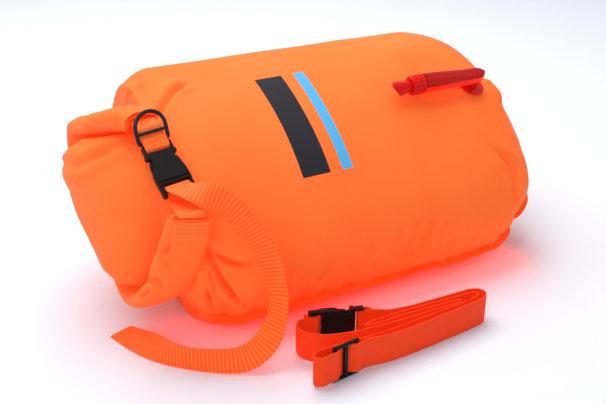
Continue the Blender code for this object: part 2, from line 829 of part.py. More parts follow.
def buckle_insert(name, place, wide, mat):
    """Beam with a guide tongue into the socket, two legs and the bar the webbing turns round."""
    half = BUCKLE_HALF_WIDTH * wide
    beam = [(-half, INSERT_START), (half, INSERT_START), (half, INSERT_BEAM_END), (-half, INSERT_BEAM_END)]
    verts, faces = slab(beam, BUCKLE_HALF_THICK, BUCKLE_EDGE)
    body = build(name, verts, faces, mat, Matrix.Identity(4))
    root = INSERT_START + OVERCUT
    thick = TONGUE_HALF_THICK
    body = join_box(body, 1.0, -TONGUE_HALF, TONGUE_HALF, TONGUE_START, root, -thick, thick)
    for side in (-1, 1):
        inner = side * LEG_INNER * wide
        outer = side * half
        tip = side * (BUCKLE_HALF_WIDTH - BUCKLE_EDGE) * wide
        start = INSERT_BEAM_END - OVERCUT
        corner = INSERT_END - BUCKLE_EDGE * 3
        leg = [(inner, start), (outer, start), (outer, corner), (tip, INSERT_END), (inner, INSERT_END)]
        verts, faces = slab(leg, LEG_HALF_THICK, BUCKLE_EDGE)
        body = combine(body, build("tool", verts, faces, mat, Matrix.Identity(4)), "UNION")
    across = LEG_INNER + OVERCUT
    body = join_box(body, wide, -across, across, LADDER_START, LADDER_END, -LADDER_HALF, LADDER_HALF)
    return settle(body, place)


def buckle_arm(name, place, wide, side, mat):
    """Springy prong of the insert with its catch in the finger window."""
    table = shares(ARM_EDGE_SHARES, BUCKLE_HALF_WIDTH)
    shift = (SLOT_HALF - GAP) * (wide - 1)
    poly = [(side * (a + shift), b) for a, b in table]
    verts, faces = slab(poly, ARM_HALF_THICK, ARM_EDGE)
    pivot = (side * (ARM_PIVOT_X + shift), ARM_PIVOT_Y, 0)
    return build(name, verts, faces, mat, place, pivot=pivot)


def d_ring(mat):
    """Bow of round rod closed by a lower bar, with a crossbar above it."""
    corner = []
    middle = RING_HALF - RING_CORNER
    for k in range(5):
        t = math.pi / 2 * k / 4
        corner.append((middle + RING_CORNER * math.sin(t), RING_CORNER - RING_CORNER * math.cos(t)))
    bow = []
    for k in range(17):
        t = math.pi * k / 16
        bow.append((RING_HALF * math.cos(t), RING_STRAIGHT + RING_HALF * math.sin(t)))
    left = [(-a, b) for a, b in corner][::-1]
    plan = corner + bow + left
    path = np.array([(a, -b, 0) for a, b in plan])
    edges = np.tile(np.array([0, 0, 1.0]), (len(path), 1))
    rings = sweep_rings(path, edges, round_profile(RING_ROD, RING_ROD, 10), closed_path=True)
    verts = np.concatenate(rings)
    faces = ring_faces(len(rings), len(rings[0]), closed_path=True)
    body = build("d_ring", verts, faces, mat, Matrix.Identity(4))
    bar = np.array([(-RING_HALF, -RING_BAR_D, 0), (RING_HALF, -RING_BAR_D, 0)])
    rings = sweep_rings(bar, edges[:2], round_profile(RING_BAR_ROD, RING_BAR_ROD, 10))
    verts, faces = loft(rings)
    body = combine(body, build("tool", verts, faces, mat, Matrix.Identity(4)), "UNION")
    return settle(body, ring_frame())


def to_bag(point, place):
    """A point of a buckle or ring frame in the bag frame."""
    return np.array(bag_frame().inverted() @ place @ Vector(point))


def anchor_webbing(mat):
    """From the far end of the roll under the crossbar, over the lower bar, round the socket bar and back."""
    ring = ring_frame()
    buckle = buckle_frame()
    path = roll_path()
    end = path[0]
    deep = path[1]
    lift = (ROLL_CORE_THICK - WEB_THICK * 2) / 4 + WEB_THICK / 2
    out = (end - deep) / np.linalg.norm(end - deep)
    up = np.array([0, -out[2], out[1]])
    if up[2] < 0:
        up = -up
    past = end + out * WEB_THICK
    flat = np.array([-1.0, 0, 0])
    across = np.array(bag_frame().inverted().to_3x3() @ (buckle.to_3x3() @ Vector((1, 0, 0))))
    rows = [(place + up * lift, flat) for place in (deep, end, past)]
    for table, frame in (
        (ANCHOR_UPPER_SHARES, ring),
        (ANCHOR_TURN_SHARES, buckle),
        (ANCHOR_LOWER_SHARES, ring),
    ):
        rows += [(to_bag((0, a, b), frame), across) for a, b in shares(table, ANCHOR_REACH)]
    rows += [(place - up * lift, flat) for place in (past, end, deep)]
    path = curve([np.concatenate(row) for row in rows], ANCHOR_SPACING)
    rings = sweep_rings(path[:, :3], path[:, 3:], strip_profile(WEB_WIDTH, WEB_THICK, WEB_COLUMNS))
    verts, faces = loft(rings)
    return build("anchor_webbing", verts, faces, mat, bag_frame())


def closure_strap(mat):
    """Webbing from the near end of the roll, round the insert bar, then the loose tail down to the floor."""
    buckle = buckle_frame()
    room = bag_frame()
    end = roll_path()[-1]
    deep = roll_path()[-2]
    out = (end - deep) / np.linalg.norm(end - deep)
    across = np.array(buckle.to_3x3() @ Vector((1, 0, 0))) * -1
    turned = np.array(room.to_3x3() @ Vector((1, 0, 0)))
    rows = [(deep, turned), (end, turned), (end + out * WEB_THICK * 2, turned)]
    rows = [(np.array(room @ Vector(place)), edge) for place, edge in rows]
    for y, z in shares(STRAP_TURN_SHARES, ANCHOR_REACH):
        rows.append((np.array(buckle @ Vector((0, y, z))), across))
    for place, direction in TAIL_PATH_SHARES:
        rows.append((np.array(place) * TAIL_REACH, np.array(direction)))
    path = curve([np.concatenate(row) for row in rows], TAIL_SPACING)
    rings = sweep_rings(path[:, :3], path[:, 3:], strip_profile(WEB_WIDTH, WEB_THICK, WEB_COLUMNS))
    verts, faces = loft(rings)
    return build("closure_strap", verts, faces, mat, Matrix.Identity(4), floor=True)


def panel_height(x, u):
    """Height of a chamber's outer face over the seam plane."""
    share = min(abs(u) / bag_half_width(x), 1)
    return CHAMBER_INNER + bag_half_depth(x) * math.sqrt(1 - share**2)


def panel_ring(radius, lift, count):
    """Ring round the stem that follows the panel."""
    ring = []
    for k in range(count):
        t = 2 * math.pi * k / count
        x = VALVE_X + radius * math.cos(t)
        u = radius * math.sin(t)
        ring.append((x, u, panel_height(x, u) + lift))
    return np.array(ring)


def valve_flange(name, side, mat):
    """Welded disc that follows the panel, open in the middle."""
    low = GAP * 1.5
    high = low + VALVE_FLANGE_THICK
    outer = [panel_ring(VALVE_FLANGE_RADIUS, z, VALVE_SIDES) for z in (low, high)]
    inner = [panel_ring(VALVE_BORE, z, VALVE_SIDES) for z in (low, high)]
    verts, faces = sleeve(outer, inner)
    return build(name, verts * np.array([1, 1, side]), faces, mat, bag_frame())


def placed(verts, side):
    """Rings turned round the stem of a valve."""
    return np.array(verts) * np.array([1, 1, side]) + np.array([VALVE_X, 0, 0])


def valve_stem(name, side, mat):
    """Short barrel between the disc and the hose."""
    low = GAP * 3 + VALVE_FLANGE_THICK
    walls = []
    for radius in (STEM_RADIUS, VALVE_BORE):
        foot = panel_ring(radius, low, VALVE_SIDES)
        top = foot.copy()
        top[:, 2] = STEM_TOP_V
        walls.append([foot, top])
    verts, faces = sleeve(walls[0], walls[1])
    return build(name, verts * np.array([1, 1, side]), faces, mat, bag_frame())


def hose_ring(x, half, low, high, count):
    """Flattened tube section across the hose."""
    mid = (low + high) / 2
    ring = []
    for a, b in round_profile(half, (high - low) / 2, count, HOSE_SQUARENESS):
        ring.append((x, a, mid + b))
    return np.array(ring)


def valve_hose(name, side, mat):
    """Soft tube with a plan rounded end over the stem and an open end for the mouthpiece."""
    outer = []
    for k in range(HOSE_STEPS):
        t = k / (HOSE_STEPS - 1)
        x = HOSE_HEAD_X + (VALVE_X - HOSE_HEAD_X) * t
        ease = t * t * (3 - 2 * t)
        high = HOSE_HEAD_TOP_V + (HOSE_TOP_V - HOSE_HEAD_TOP_V) * ease
        outer.append(hose_ring(x, HOSE_HALF_WIDTH, HOSE_BOTTOM_V, high, HOSE_SIDES))
    reach = HOSE_END_X - VALVE_X
    for k in range(1, 7):
        t = math.pi / 2 * k / 6
        half = HOSE_HALF_WIDTH * max(math.cos(t), HOSE_TIP_SHARE)
        outer.append(hose_ring(VALVE_X + reach * math.sin(t), half, HOSE_BOTTOM_V, HOSE_TOP_V, HOSE_SIDES))
    inner = []
    mid = (HOSE_BOTTOM_V + HOSE_TOP_V) / 2
    rise = HOSE_SEAT_DEPTH * math.tan(HEAD_DROOP)
    for x, bore, v in (
        (HOSE_HEAD_X, HOSE_BORE, HEAD_V),
        (HOSE_HEAD_X + HOSE_SEAT_DEPTH, HOSE_BORE, HEAD_V + rise),
        (HOSE_HEAD_X + HOSE_SEAT_DEPTH + GAP, HOSE_SEAT_BORE, HEAD_V + rise),
        (HOSE_BORE_END_X, HOSE_SEAT_BORE, mid),
    ):
        inner.append(np.array([(x, a, v + b) for a, b in round_profile(bore, bore, HOSE_SIDES)]))
    verts, faces = cup(outer, inner)
    flip = np.array([1, 1, side])
    body = build(name, verts * flip, faces, mat, Matrix.Identity(4))
    port = VALVE_BORE * HOSE_PORT_SHARE
    verts, faces = loft(turned_rings(((port, HOSE_BOTTOM_V - OVERCUT), (port, mid)), VALVE_SIDES))
    tool = build("tool", placed(verts, side), faces, mat, Matrix.Identity(4))
    body = combine(body, tool, "DIFFERENCE")
    return settle(body, bag_frame(), (HOSE_PIVOT_X, 0, side * HOSE_PIVOT_V))


def valve_collar(name, side, mat):
    """Ribbed locking collar round the mouthpiece."""
    count = COLLAR_RIBS * 3
    end = COLLAR_START + COLLAR_LENGTH
    rim = GAP * 2
    share = COLLAR_RIM_SHARE
    outer = []
    for z, ease in ((COLLAR_START, share), (COLLAR_START + rim, 1), (end - rim, 1), (end, share)):
        ring = []
        for k in range(count):
            t = 2 * math.pi * k / count
            rib = 0.5 + 0.5 * math.cos(2 * math.pi * k / 3)
            radius = COLLAR_RADIUS - COLLAR_GROOVE * (1 - rib * ease)
            ring.append((radius * math.cos(t), radius * math.sin(t), z))
        outer.append(np.array(ring))
    verts, faces = sleeve(outer, turned_rings(((COLLAR_BORE, COLLAR_START), (COLLAR_BORE, end)), count))
    pivot = (0, 0, (COLLAR_START + end) / 2)
    return build(name, verts, faces, mat, head_frame(side), pivot=pivot, smooth=30)


def valve_mouthpiece(name, side, mat):
    """Tube flaring to a slanted oval lip."""
    outer = []
    inner = []
    for t in MOUTH_STATION_SHARES:
        flare = max((t - MOUTH_FLARE_SHARE) / (1 - MOUTH_FLARE_SHARE), 0)
        wide = MOUTH_TUBE + (MOUTH_LIP - MOUTH_TUBE) * flare**MOUTH_FLARE_POWER
        bore = MOUTH_BORE + (MOUTH_LIP - MOUTH_LIP_WALL - MOUTH_BORE) * flare**MOUTH_FLARE_POWER
        centre = MOUTH_START + (MOUTH_LENGTH - MOUTH_START) * t
        tilt = MOUTH_TILT * flare**MOUTH_FLARE_POWER
        if t == 1.0:
            wide = wide - MOUTH_LIP_WALL * MOUTH_ROUND_SHARE
            bore = bore + MOUTH_LIP_WALL * MOUTH_ROUND_SHARE
        outer.append(tilted_ring(wide, centre, tilt, VALVE_SIDES))
        inner.append(tilted_ring(bore, centre, tilt, VALVE_SIDES))
    verts, faces = sleeve(outer, inner)
    return build(name, verts, faces, mat, head_frame(side), pivot=(0, 0, MOUTH_LENGTH / 2), smooth=50)


def tilted_ring(radius, centre, tilt, count):
    """Ring leaning so that its upper side sits further back."""
    ring = []
    for k in range(count):
        t = 2 * math.pi * k / count
        a = radius * math.cos(t)
        b = radius * math.sin(t)
        ring.append((a, b, centre - b * math.tan(tilt)))
    return np.array(ring)


def valve_seal(name, side, mat):
    """Rubber washer with softened rims."""
    end = SEAL_START + SEAL_THICK
    rim = SEAL_RADIUS - GAP
    outer = ((rim, SEAL_START), (SEAL_RADIUS, SEAL_START + GAP), (SEAL_RADIUS, end - GAP), (rim, end))
    inner = [(SEAL_BORE, z) for radius, z in outer]
    verts, faces = sleeve(turned_rings(outer, VALVE_SIDES), turned_rings(inner, VALVE_SIDES))
    return build(name, verts, faces, mat, head_frame(side))


def valve_spring(name, side, mat):
    """Open coil behind the washer."""
    path = []
    steps = SPRING_TURNS * SPRING_STEPS
    for k in range(steps + 1):
        t = 2 * math.pi * k / SPRING_STEPS
        z = SPRING_START + (SPRING_END - SPRING_START) * k / steps
        path.append((SPRING_RADIUS * math.cos(t), SPRING_RADIUS * math.sin(t), z))
    edges = np.tile(np.array([0, 0, 1.0]), (len(path), 1))
    rings = sweep_rings(path, edges, round_profile(SPRING_WIRE, SPRING_WIRE, 5))
    verts, faces = loft(rings)
    return build(name, verts, faces, mat, head_frame(side))


def belt_webbing(mat):
    """One length of webbing on edge: socket bar, outer fold, slider weave, inner folds, insert bar."""
    buckle = belt_buckle_frame()
    start = [np.array(buckle @ Vector((0, a, b))) for a, b in shares(BELT_START_SHARES, ANCHOR_REACH)]
    finish = [np.array(buckle @ Vector((0, a, b))) for a, b in shares(BELT_FINISH_SHARES, ANCHOR_REACH)]
    points = start
    points += list(shares(BELT_PATH_SHARES, BELT_REACH))
    points += slider_weave()
    points += list(shares(BELT_RETURN_SHARES, BELT_REACH))
    points += finish
    path = curve(points, BELT_SPACING)
    edges = np.tile(np.array([0, 0, 1.0]), (len(path), 1))
    rings = sweep_rings(path, edges, strip_profile(BELT_WIDTH, BELT_THICK, 1))
    verts, faces = loft(rings)
    return build("belt_webbing", verts, faces, mat, Matrix.Identity(4), floor=True)


def slider_frame():
    place = Matrix.Rotation(SLIDER_YAW, 4, "Z")
    place.translation = Vector((SLIDER_X, SLIDER_Y, SLIDER_Z))
    return place


def slider_weave():
    """In front of the end bars of the slider and behind its middle bar."""
    off = SLIDER_HALF_THICK + BELT_THICK / 2 + GAP
    points = []
    for share, side in SLIDER_WEAVE_SHARES:
        points.append(np.array(slider_frame() @ Vector((SLIDER_HALF_LENGTH * share, side * off, 0))))
    return points


def belt_slider(mat):
    """Rectangular slider with two upright slots either side of a middle bar."""
    half_x = SLIDER_HALF_LENGTH
    half_z = SLIDER_HALF_HEIGHT
    plan = [(-half_x, -half_z), (half_x, -half_z), (half_x, half_z), (-half_x, half_z)]
    verts, faces = slab(plan, SLIDER_HALF_THICK, SLIDER_EDGE)
    body = build("belt_slider", verts, faces, mat, Matrix.Identity(4))
    for side in (-1, 1):
        near = side * SLIDER_BAR
        far = side * (half_x - SLIDER_RAIL)
        low = min(near, far)
        high = max(near, far)
        deep = SLIDER_HALF_THICK + OVERCUT
        verts, faces = block(low, high, -SLIDER_SLOT_HALF, SLIDER_SLOT_HALF, -deep, deep)
        body = combine(body, build("tool", verts, faces, mat, Matrix.Identity(4)), "DIFFERENCE")
    return settle(body, slider_frame() @ Matrix.Rotation(math.pi / 2, 4, "X"))


def make_materials():
    return {
        "shell": material("coated_fabric_orange", (1.0, 0.17, 0.03), 0.42, 0.1, 0.0),
        "liner": material("inner_film_orange", (0.95, 0.20, 0.05), 0.5, 0.0, 0.0),
        "web": material("closure_webbing_orange", (1.0, 0.15, 0.02), 0.75, 0.0, 0.0),
        "belt": material("belt_webbing_orange", (0.95, 0.10, 0.01), 0.78, 0.0, 0.0),
        "strip": material("stiffener_plastic", (0.85, 0.85, 0.83), 0.5, 0.0, 0.0),
        "acetal": material("buckle_plastic_black", (0.018, 0.016, 0.017), 0.38, 0.0, 0.0),
        "ring": material("ring_plastic_black", (0.012, 0.012, 0.014), 0.3, 0.0, 0.0),
        "tube": material("valve_vinyl_red", (0.80, 0.01, 0.01), 0.2, 0.2, 0.4),
        "mouth": material("mouthpiece_vinyl_red", (0.85, 0.015, 0.012), 0.18, 0.2, 0.3),
        "seal": material("seal_rubber_dark", (0.05, 0.05, 0.05), 0.7, 0.0, 0.0),
        "wire": material("spring_wire_steel", (0.6, 0.6, 0.6), 0.3, 0.0, 0.0),
    }


def build_valve(tag, side, mats):
    valve_flange("valve_flange_" + tag, side, mats["tube"])
    valve_stem("valve_stem_" + tag, side, mats["tube"])
    valve_hose("valve_hose_" + tag, side, mats["tube"])
    valve_collar("valve_collar_" + tag, side, mats["mouth"])
    valve_mouthpiece("valve_mouthpiece_" + tag, side, mats["mouth"])
    valve_seal("valve_seal_" + tag, side, mats["seal"])
    valve_spring("valve_spring_" + tag, side, mats["wire"])


def build_buckle(tag, place, wide, mat):
    buckle_socket(tag + "_socket", place, wide, mat)
    buckle_insert(tag + "_insert", place, wide, mat)
    buckle_arm(tag + "_arm_left", place, wide, -1, mat)
    buckle_arm(tag + "_arm_right", place, wide, 1, mat)


def main():
    clear_scene()
    mats = make_materials()
    chamber("front_chamber", 1, mats["shell"])
    chamber("back_chamber", -1, mats["shell"])
    dry_pouch(mats["liner"])
    neck(mats["shell"])
    roll_top(mats["shell"])
    mouth_stiffener(mats["strip"])
    anchor_webbing(mats["web"])
    d_ring(mats["ring"])
    build_buckle("buckle", buckle_frame(), 1.0, mats["acetal"])
    closure_strap(mats["web"])
    build_valve("front", 1, mats)
    build_valve("back", -1, mats)
    build_buckle("belt", belt_buckle_frame(), BELT_WIDE_SHARE, mats["acetal"])
    belt_slider(mats["acetal"])
    belt_webbing(mats["belt"])


main()
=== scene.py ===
"""Open water swim buoy, dressed: fabric, webbing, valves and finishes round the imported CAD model.

Soft pieces are surfaces over two parameters, worked out as whole arrays in the bag's own frame
(x along the bag, u across towards the far seam, v out of the front panel) and turned into the room.
"""

import math

import bpy
import numpy as np
from mathutils import Matrix, Vector


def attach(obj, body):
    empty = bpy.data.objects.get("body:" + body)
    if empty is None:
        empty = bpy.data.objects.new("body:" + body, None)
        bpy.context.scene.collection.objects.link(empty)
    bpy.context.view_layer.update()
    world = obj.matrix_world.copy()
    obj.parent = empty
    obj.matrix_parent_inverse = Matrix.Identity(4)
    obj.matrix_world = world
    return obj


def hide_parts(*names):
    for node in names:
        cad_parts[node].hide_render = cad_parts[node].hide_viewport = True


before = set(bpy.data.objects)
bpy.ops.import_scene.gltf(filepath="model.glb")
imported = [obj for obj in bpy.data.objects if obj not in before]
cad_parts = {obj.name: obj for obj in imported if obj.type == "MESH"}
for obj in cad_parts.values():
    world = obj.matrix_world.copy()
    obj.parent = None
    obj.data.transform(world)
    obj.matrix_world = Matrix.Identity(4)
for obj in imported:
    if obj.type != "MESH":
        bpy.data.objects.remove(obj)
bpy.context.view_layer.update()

# how the bag lies and its main sizes, in metres and radians, as in the part's source
ROLL = math.radians(30.5)
AXIS_Y = 0.046
AXIS_Z = 0.0855
HALF_WIDTH = 0.124
HALF_DEPTH = 0.076
MOUTH_X = -0.166
BASE_X = 0.177
CORNER = 0.080
TAPER_X = 0.060
SHOULDER = 0.030
SEAM_V = 0.0016
NECK_X = -0.229
ROLL_REACH = 0.100
BUCKLE_PLACE = (-0.180, -0.006, 0.0805)
BUCKLE_YAW = math.radians(7.4)
BUCKLE_TILT = math.radians(7.9)
RING_LEAN = math.radians(38)
RING_PLACE = (0, -0.0027, 0.0006)
BODY = "buoy"

# how much the skins draw in: shares at the mouth, then the neck's half width, its taper and its lean
FRONT_DRAW = 0.10
BACK_DRAW = 0.12
NECK_DRAW = 0.1116 - 0.0735
NECK_DRAW_SHARE = 0.40
NECK_TAPER = 0.010
NECK_LEAN = -0.0065
NECK_LEAN_REACH = 0.030

# a slanting ceiling holds the neck under the roll's near arm: its height at one line, its slope, the way over
# which it comes in, and the share of what stands above it that it takes off the front skin
ARM_CEILING = 0.0812
ARM_LINE_U = 0.006
ARM_SLOPE = 1.18
ARM_ONSET = 0.012
ARM_PRESS = 0.9

# cloth in the roll and the flange, and the least height of a piece over the floor
CLOTH_THICK = 0.0007
FLANGE_THICK = 0.0014
FLOOR_CLEARANCE = 0.0002

# webbing: its width and thickness, how far apart its ribs and its yarns lie, and how much it swells at a rib
STRAP_WIDTH = 0.020
STRAP_THICK = 0.0015
STRAP_RIBS = 0.0030
STRAP_YARNS = 0.0017
STRAP_SWELL = 0.20
ANCHOR_THICK = 0.0013
ANCHOR_RIBS = 0.0017
ANCHOR_YARNS = 0.0016
ANCHOR_SWELL = 0.10
BELT_WIDTH = 0.025
BELT_THICK = 0.0014
BELT_RIBS = 0.0016
BELT_YARNS = 0.0014

# units of the tables, and steps that a spline works out for each one that it keeps
MM_IN_M = 1000.0
CM = 0.01
DM = 0.1
SPLINE_STEPS = 6
TINY = 1e-12

# the wound mouth's middle line in the bag frame, its width and its thickness, as shares of its reach
ROLL_ROUTE = np.array([
    (-1.835, 0.165, 0.822, 0.300, 0.215), (-1.860, 0.255, 0.772, 0.305, 0.218),
    (-1.905, 0.350, 0.672, 0.315, 0.220), (-1.960, 0.460, 0.525, 0.330, 0.220),
    (-2.000, 0.630, 0.300, 0.360, 0.205), (-2.020, 0.785, 0.080, 0.380, 0.180),
    (-2.000, 0.690, -0.180, 0.400, 0.170), (-1.980, 0.300, -0.250, 0.410, 0.165),
    (-1.980, -0.300, -0.250, 0.410, 0.165), (-1.990, -0.700, -0.200, 0.400, 0.165),
    (-1.980, -0.900, 0.040, 0.390, 0.170), (-1.915, -0.940, 0.340, 0.380, 0.175),
    (-1.840, -0.870, 0.620, 0.370, 0.175), (-1.780, -0.770, 0.810, 0.345, 0.170),
]) * ROLL_REACH
ROLL_POINTS = 900


# Arrays


def to_room(points):
    """Bag frame to room: turn by ROLL about x, then shift."""
    points = np.asarray(points, dtype=float)
    c, s = math.cos(ROLL), math.sin(ROLL)
    x, u, v = points[..., 0], points[..., 1], points[..., 2]
    return np.stack([x, AXIS_Y + u * c - v * s, AXIS_Z + u * s + v * c], axis=-1)


def smooth(t):
    """Smooth step from 0 to 1."""
    t = np.clip(t, 0, 1)
    return t * t * (3 - 2 * t)


def unit(a):
    """The same directions, each of length 1."""
    return a / np.maximum(np.linalg.norm(a, axis=-1, keepdims=True), TINY)


def bell(x, middle, spread):
    """Smooth hump: 1 at its middle, about a third one spread away and almost nothing at two."""
    return np.exp(-(((x - middle) / spread) ** 2))


def path_length(path):
    """Way from the first point to each point along the path."""
    return np.concatenate([[0], np.cumsum(np.linalg.norm(np.diff(path, axis=0), axis=1))])


def spline(points, count):
    """Smooth curve through the points, evenly resampled.

    Each place is mixed from the four points round it, by knots a square root of their distance apart.
    Columns after the third go along with the place.
    """
    pts = np.array(points, dtype=float)
    pts = np.vstack([2 * pts[0] - pts[1], pts, 2 * pts[-1] - pts[-2]])
    knots = np.concatenate([[0], np.cumsum(np.sqrt(np.linalg.norm(np.diff(pts[:, :3], axis=0), axis=1)))])
    t = np.linspace(knots[1], knots[-2], count * SPLINE_STEPS)
    i = np.clip(np.searchsorted(knots, t, side="right") - 1, 1, len(pts) - 3)
    p = [pts[i + k] for k in (-1, 0, 1, 2)]
    k = [knots[i + n][:, None] for n in (-1, 0, 1, 2)]
    t = t[:, None]

    def mix(a, b, ta, tb):
        """Straight mix of two points by where the knot lies between theirs."""
        f = (t - ta) / (tb - ta)
        return a * (1 - f) + b * f

    a = mix(p[0], p[1], k[0], k[1])
    b = mix(p[1], p[2], k[1], k[2])
    c = mix(p[2], p[3], k[2], k[3])
    out = mix(mix(a, b, k[0], k[2]), mix(b, c, k[1], k[3]), k[1], k[2])
    way = path_length(out[:, :3])
    even = np.linspace(0, way[-1], count)
    return np.stack([np.interp(even, way, out[:, n]) for n in range(out.shape[1])], axis=1)


def grid_normals(grid):
    """Normals of a grid of points: square to its differences along its rows and its columns."""
    return unit(np.cross(np.gradient(grid, axis=0), np.gradient(grid, axis=1)))


def line_distance(points, line):
    """Distance of each point to a polyline, and how far along it the nearest place is, 0 to 1."""
    flat = points.reshape(-1, 3)
    line = np.asarray(line, dtype=float)
    best = np.full(len(flat), np.inf)
    share = np.zeros(len(flat))
    lengths = np.linalg.norm(np.diff(line, axis=0), axis=1)
    ways = np.concatenate([[0], np.cumsum(lengths)])
    for a, b, start, length in zip(line[:-1], line[1:], ways, lengths):
        ab = b - a
        t = np.clip((flat - a) @ ab / (ab @ ab), 0, 1)
        far = np.linalg.norm(flat - a - t[:, None] * ab, axis=1)
        near = far < best
        best = np.where(near, far, best)
        share = np.where(near, (start + t * length) / ways[-1], share)
    return best.reshape(points.shape[:-1]), share.reshape(points.shape[:-1])


# a crease square to its line: a valley, and a bulge beside it placed and sized in widths of the valley
VALLEY_POWER = 1.25
BULGE_PLACE = 2.4
BULGE_SPREAD = 1.6
BULGE_HEIGHT = 0.35
CREASE_POINTS = 24

# shares of a crease's line over which its depth comes in and goes out
FADE_IN = 0.25
FADE_OUT = 0.35


def crease_depths(grid, lines):
    """How far each place moves out by the lines near it: down in valleys and up on the bulges beside them.

    A line's depth fades towards its first and its last point, to the shares of it that are given for them.
    """
    move = np.zeros(grid.shape[:-1])
    for line, depth, width, start, end in lines:
        far, share = line_distance(grid, spline(np.array(line) / MM_IN_M, CREASE_POINTS))
        fade = start + (1 - start) * smooth(share / FADE_IN)
        fade = fade * (end + (1 - end) * smooth((1 - share) / FADE_OUT))
        valley = np.exp(-((far / width) ** VALLEY_POWER))
        bulge = bell(far, width * BULGE_PLACE, width * BULGE_SPREAD)
        move += fade * depth * (BULGE_HEIGHT * bulge - valley)
    return move


def creases(grid, normals, lines):
    """The grid, moved along its normals by the depths of the creases."""
    return grid + normals * crease_depths(grid, lines)[..., None]


def above_floor(points):
    """The points, with none of them lower than just above the floor."""
    points[..., 2] = np.maximum(points[..., 2], FLOOR_CLEARANCE)
    return points


# Meshes


# turn between two faces, in degrees, past which their edge is drawn sharp
RINGS_ANGLE = 60
BAND_ANGLE = 50


def to_piece(name, verts, faces, uv, material, sharp_angle):
    """Mesh object at the origin, faces turned outwards by its signed volume."""
    mesh = bpy.data.meshes.new(name)
    mesh.from_pydata(verts.tolist(), [], [tuple(int(i) for i in f) for f in faces])
    mesh.update()
    mesh.calc_loop_triangles()
    tris = np.zeros(len(mesh.loop_triangles) * 3, dtype=np.int32)
    mesh.loop_triangles.foreach_get("vertices", tris)
    a, b, c = (verts[tris.reshape(-1, 3)[:, n]] for n in range(3))
    if np.einsum("ij,ij->i", a, np.cross(b, c)).sum() < 0:
        mesh.flip_normals()
    if uv is not None:
        layer = mesh.uv_layers.new(name="UVMap")
        loops = np.zeros(len(mesh.loops), dtype=np.int32)
        mesh.loops.foreach_get("vertex_index", loops)
        layer.data.foreach_set("uv", np.asarray(uv, dtype=float)[loops].ravel())
    mesh.shade_smooth()
    mesh.set_sharp_from_angle(angle=math.radians(sharp_angle))
    mesh.materials.append(material)
    thing = bpy.data.objects.new(name, mesh)
    bpy.context.scene.collection.objects.link(thing)
    return thing


def ring_quads(grid):
    """Vertex numbers of closed rings, the numbers one step round, and the quads between the rings."""
    rows, count = grid.shape[:2]
    index = np.arange(rows * count).reshape(rows, count)
    after = np.roll(index, -1, axis=1)
    quads = np.stack([index[:-1], after[:-1], after[1:], index[1:]], axis=-1).reshape(-1, 4)
    return index, after, quads.tolist()


def rings_piece(name, grid, uv, material):
    """Closed solid from rings of points: faces between neighbouring rings and a fan over each end."""
    index, after, faces = ring_quads(grid)
    verts = np.vstack([grid.reshape(-1, 3), grid[0].mean(axis=0), grid[-1].mean(axis=0)])
    first, last = index.size, index.size + 1
    faces += [(first, b, a) for a, b in zip(index[0], after[0])]
    faces += [(last, a, b) for a, b in zip(index[-1], after[-1])]
    if uv is not None:
        uv = np.vstack([uv.reshape(-1, 2), uv[0].mean(axis=0), uv[-1].mean(axis=0)])
    return to_piece(name, verts, faces, uv, material, RINGS_ANGLE)


def band_piece(name, grid, uv, material):
    """Closed solid from rows that run out along one face of a band and back along the other.

    Its ends are closed by quads from one face across to the other.
    """
    index, _, faces = ring_quads(grid)
    count = index.shape[1]
    for row, turned in ((index[0], False), (index[-1], True)):
        for i in range(count // 2 - 1):
            f = (row[i], row[count - 1 - i], row[count - 2 - i], row[i + 1])
            faces.append(f[::-1] if turned else f)
    return to_piece(name, grid.reshape(-1, 3), faces, uv.reshape(-1, 2), material, BAND_ANGLE)


def sheet_rings(grid, normals, thick):
    """Rings of a sheet with thickness: a row of the grid out on one face and back on the other."""
    top = grid + normals * (thick / 2)
    low = grid - normals * (thick / 2)
    return np.concatenate([top, low[:, ::-1]], axis=1)


def frames_along(path, edge):
    """Unit directions along a path, across it by the edge vectors, and through both."""
    ahead = unit(np.gradient(path, axis=0))
    across = unit(edge - ahead * np.sum(edge * ahead, axis=1, keepdims=True))
    return ahead, across, np.cross(ahead, across)


# Materials

# the mix node's colour sockets go by number, because their names are used twice
MIX_A, MIX_B, MIX_RESULT = 6, 7, 2

# colours of the painted glow that the cloth and the vinyl give off though they are no lamps, lifting their
# shaded parts, and of the lamps' light under the bag
PAINTED_GLOW = (1.0, 0.060, 0.004)
PAINTED_VINYL_GLOW = (1.0, 0.012, 0.006)
FLOOR_GLOW = (1.0, 0.004, 0.002)

# the bag's own colour, and the deeper one of its patches
ORANGE = (1.0, 0.202, 0.046)
ORANGE_DEEP = (1.0, 0.160, 0.030)


def new_material(name, colour, roughness, **sockets):
    """Material with one shader, given its colour, its roughness and any other sockets by name."""
    mat = bpy.data.materials.new(name)
    mat.use_nodes = True
    shader = mat.node_tree.nodes["Principled BSDF"]
    shader.inputs["Base Color"].default_value = (*colour, 1.0)
    shader.inputs["Roughness"].default_value = roughness
    for key, value in sockets.items():
        shader.inputs[key.replace("_", " ")].default_value = value
    mat.diffuse_color = (*colour, 1.0)
    return mat, mat.node_tree, shader


def node(tree, kind, **sockets):
    """New node with the values of its sockets by name."""
    item = tree.nodes.new(kind)
    for key, value in sockets.items():
        item.inputs[key.replace("_", " ")].default_value = value
    return item


def math_node(tree, operation, a, b=None, c=None, clamp=False):
    """Result of an operation on up to three values, each a number or another node's output."""
    item = tree.nodes.new("ShaderNodeMath")
    item.operation = operation
    item.use_clamp = clamp
    for socket, value in zip(item.inputs, (a, b, c)):
        if isinstance(value, (int, float)):
            socket.default_value = value
        elif value is not None:
            tree.links.new(value, socket)
    return item.outputs[0]


def half_wave(tree, angle):
    """Sine of an angle, brought to between 0 and 1."""
    return math_node(tree, "MULTIPLY_ADD", math_node(tree, "SINE", angle), 0.5, 0.5)


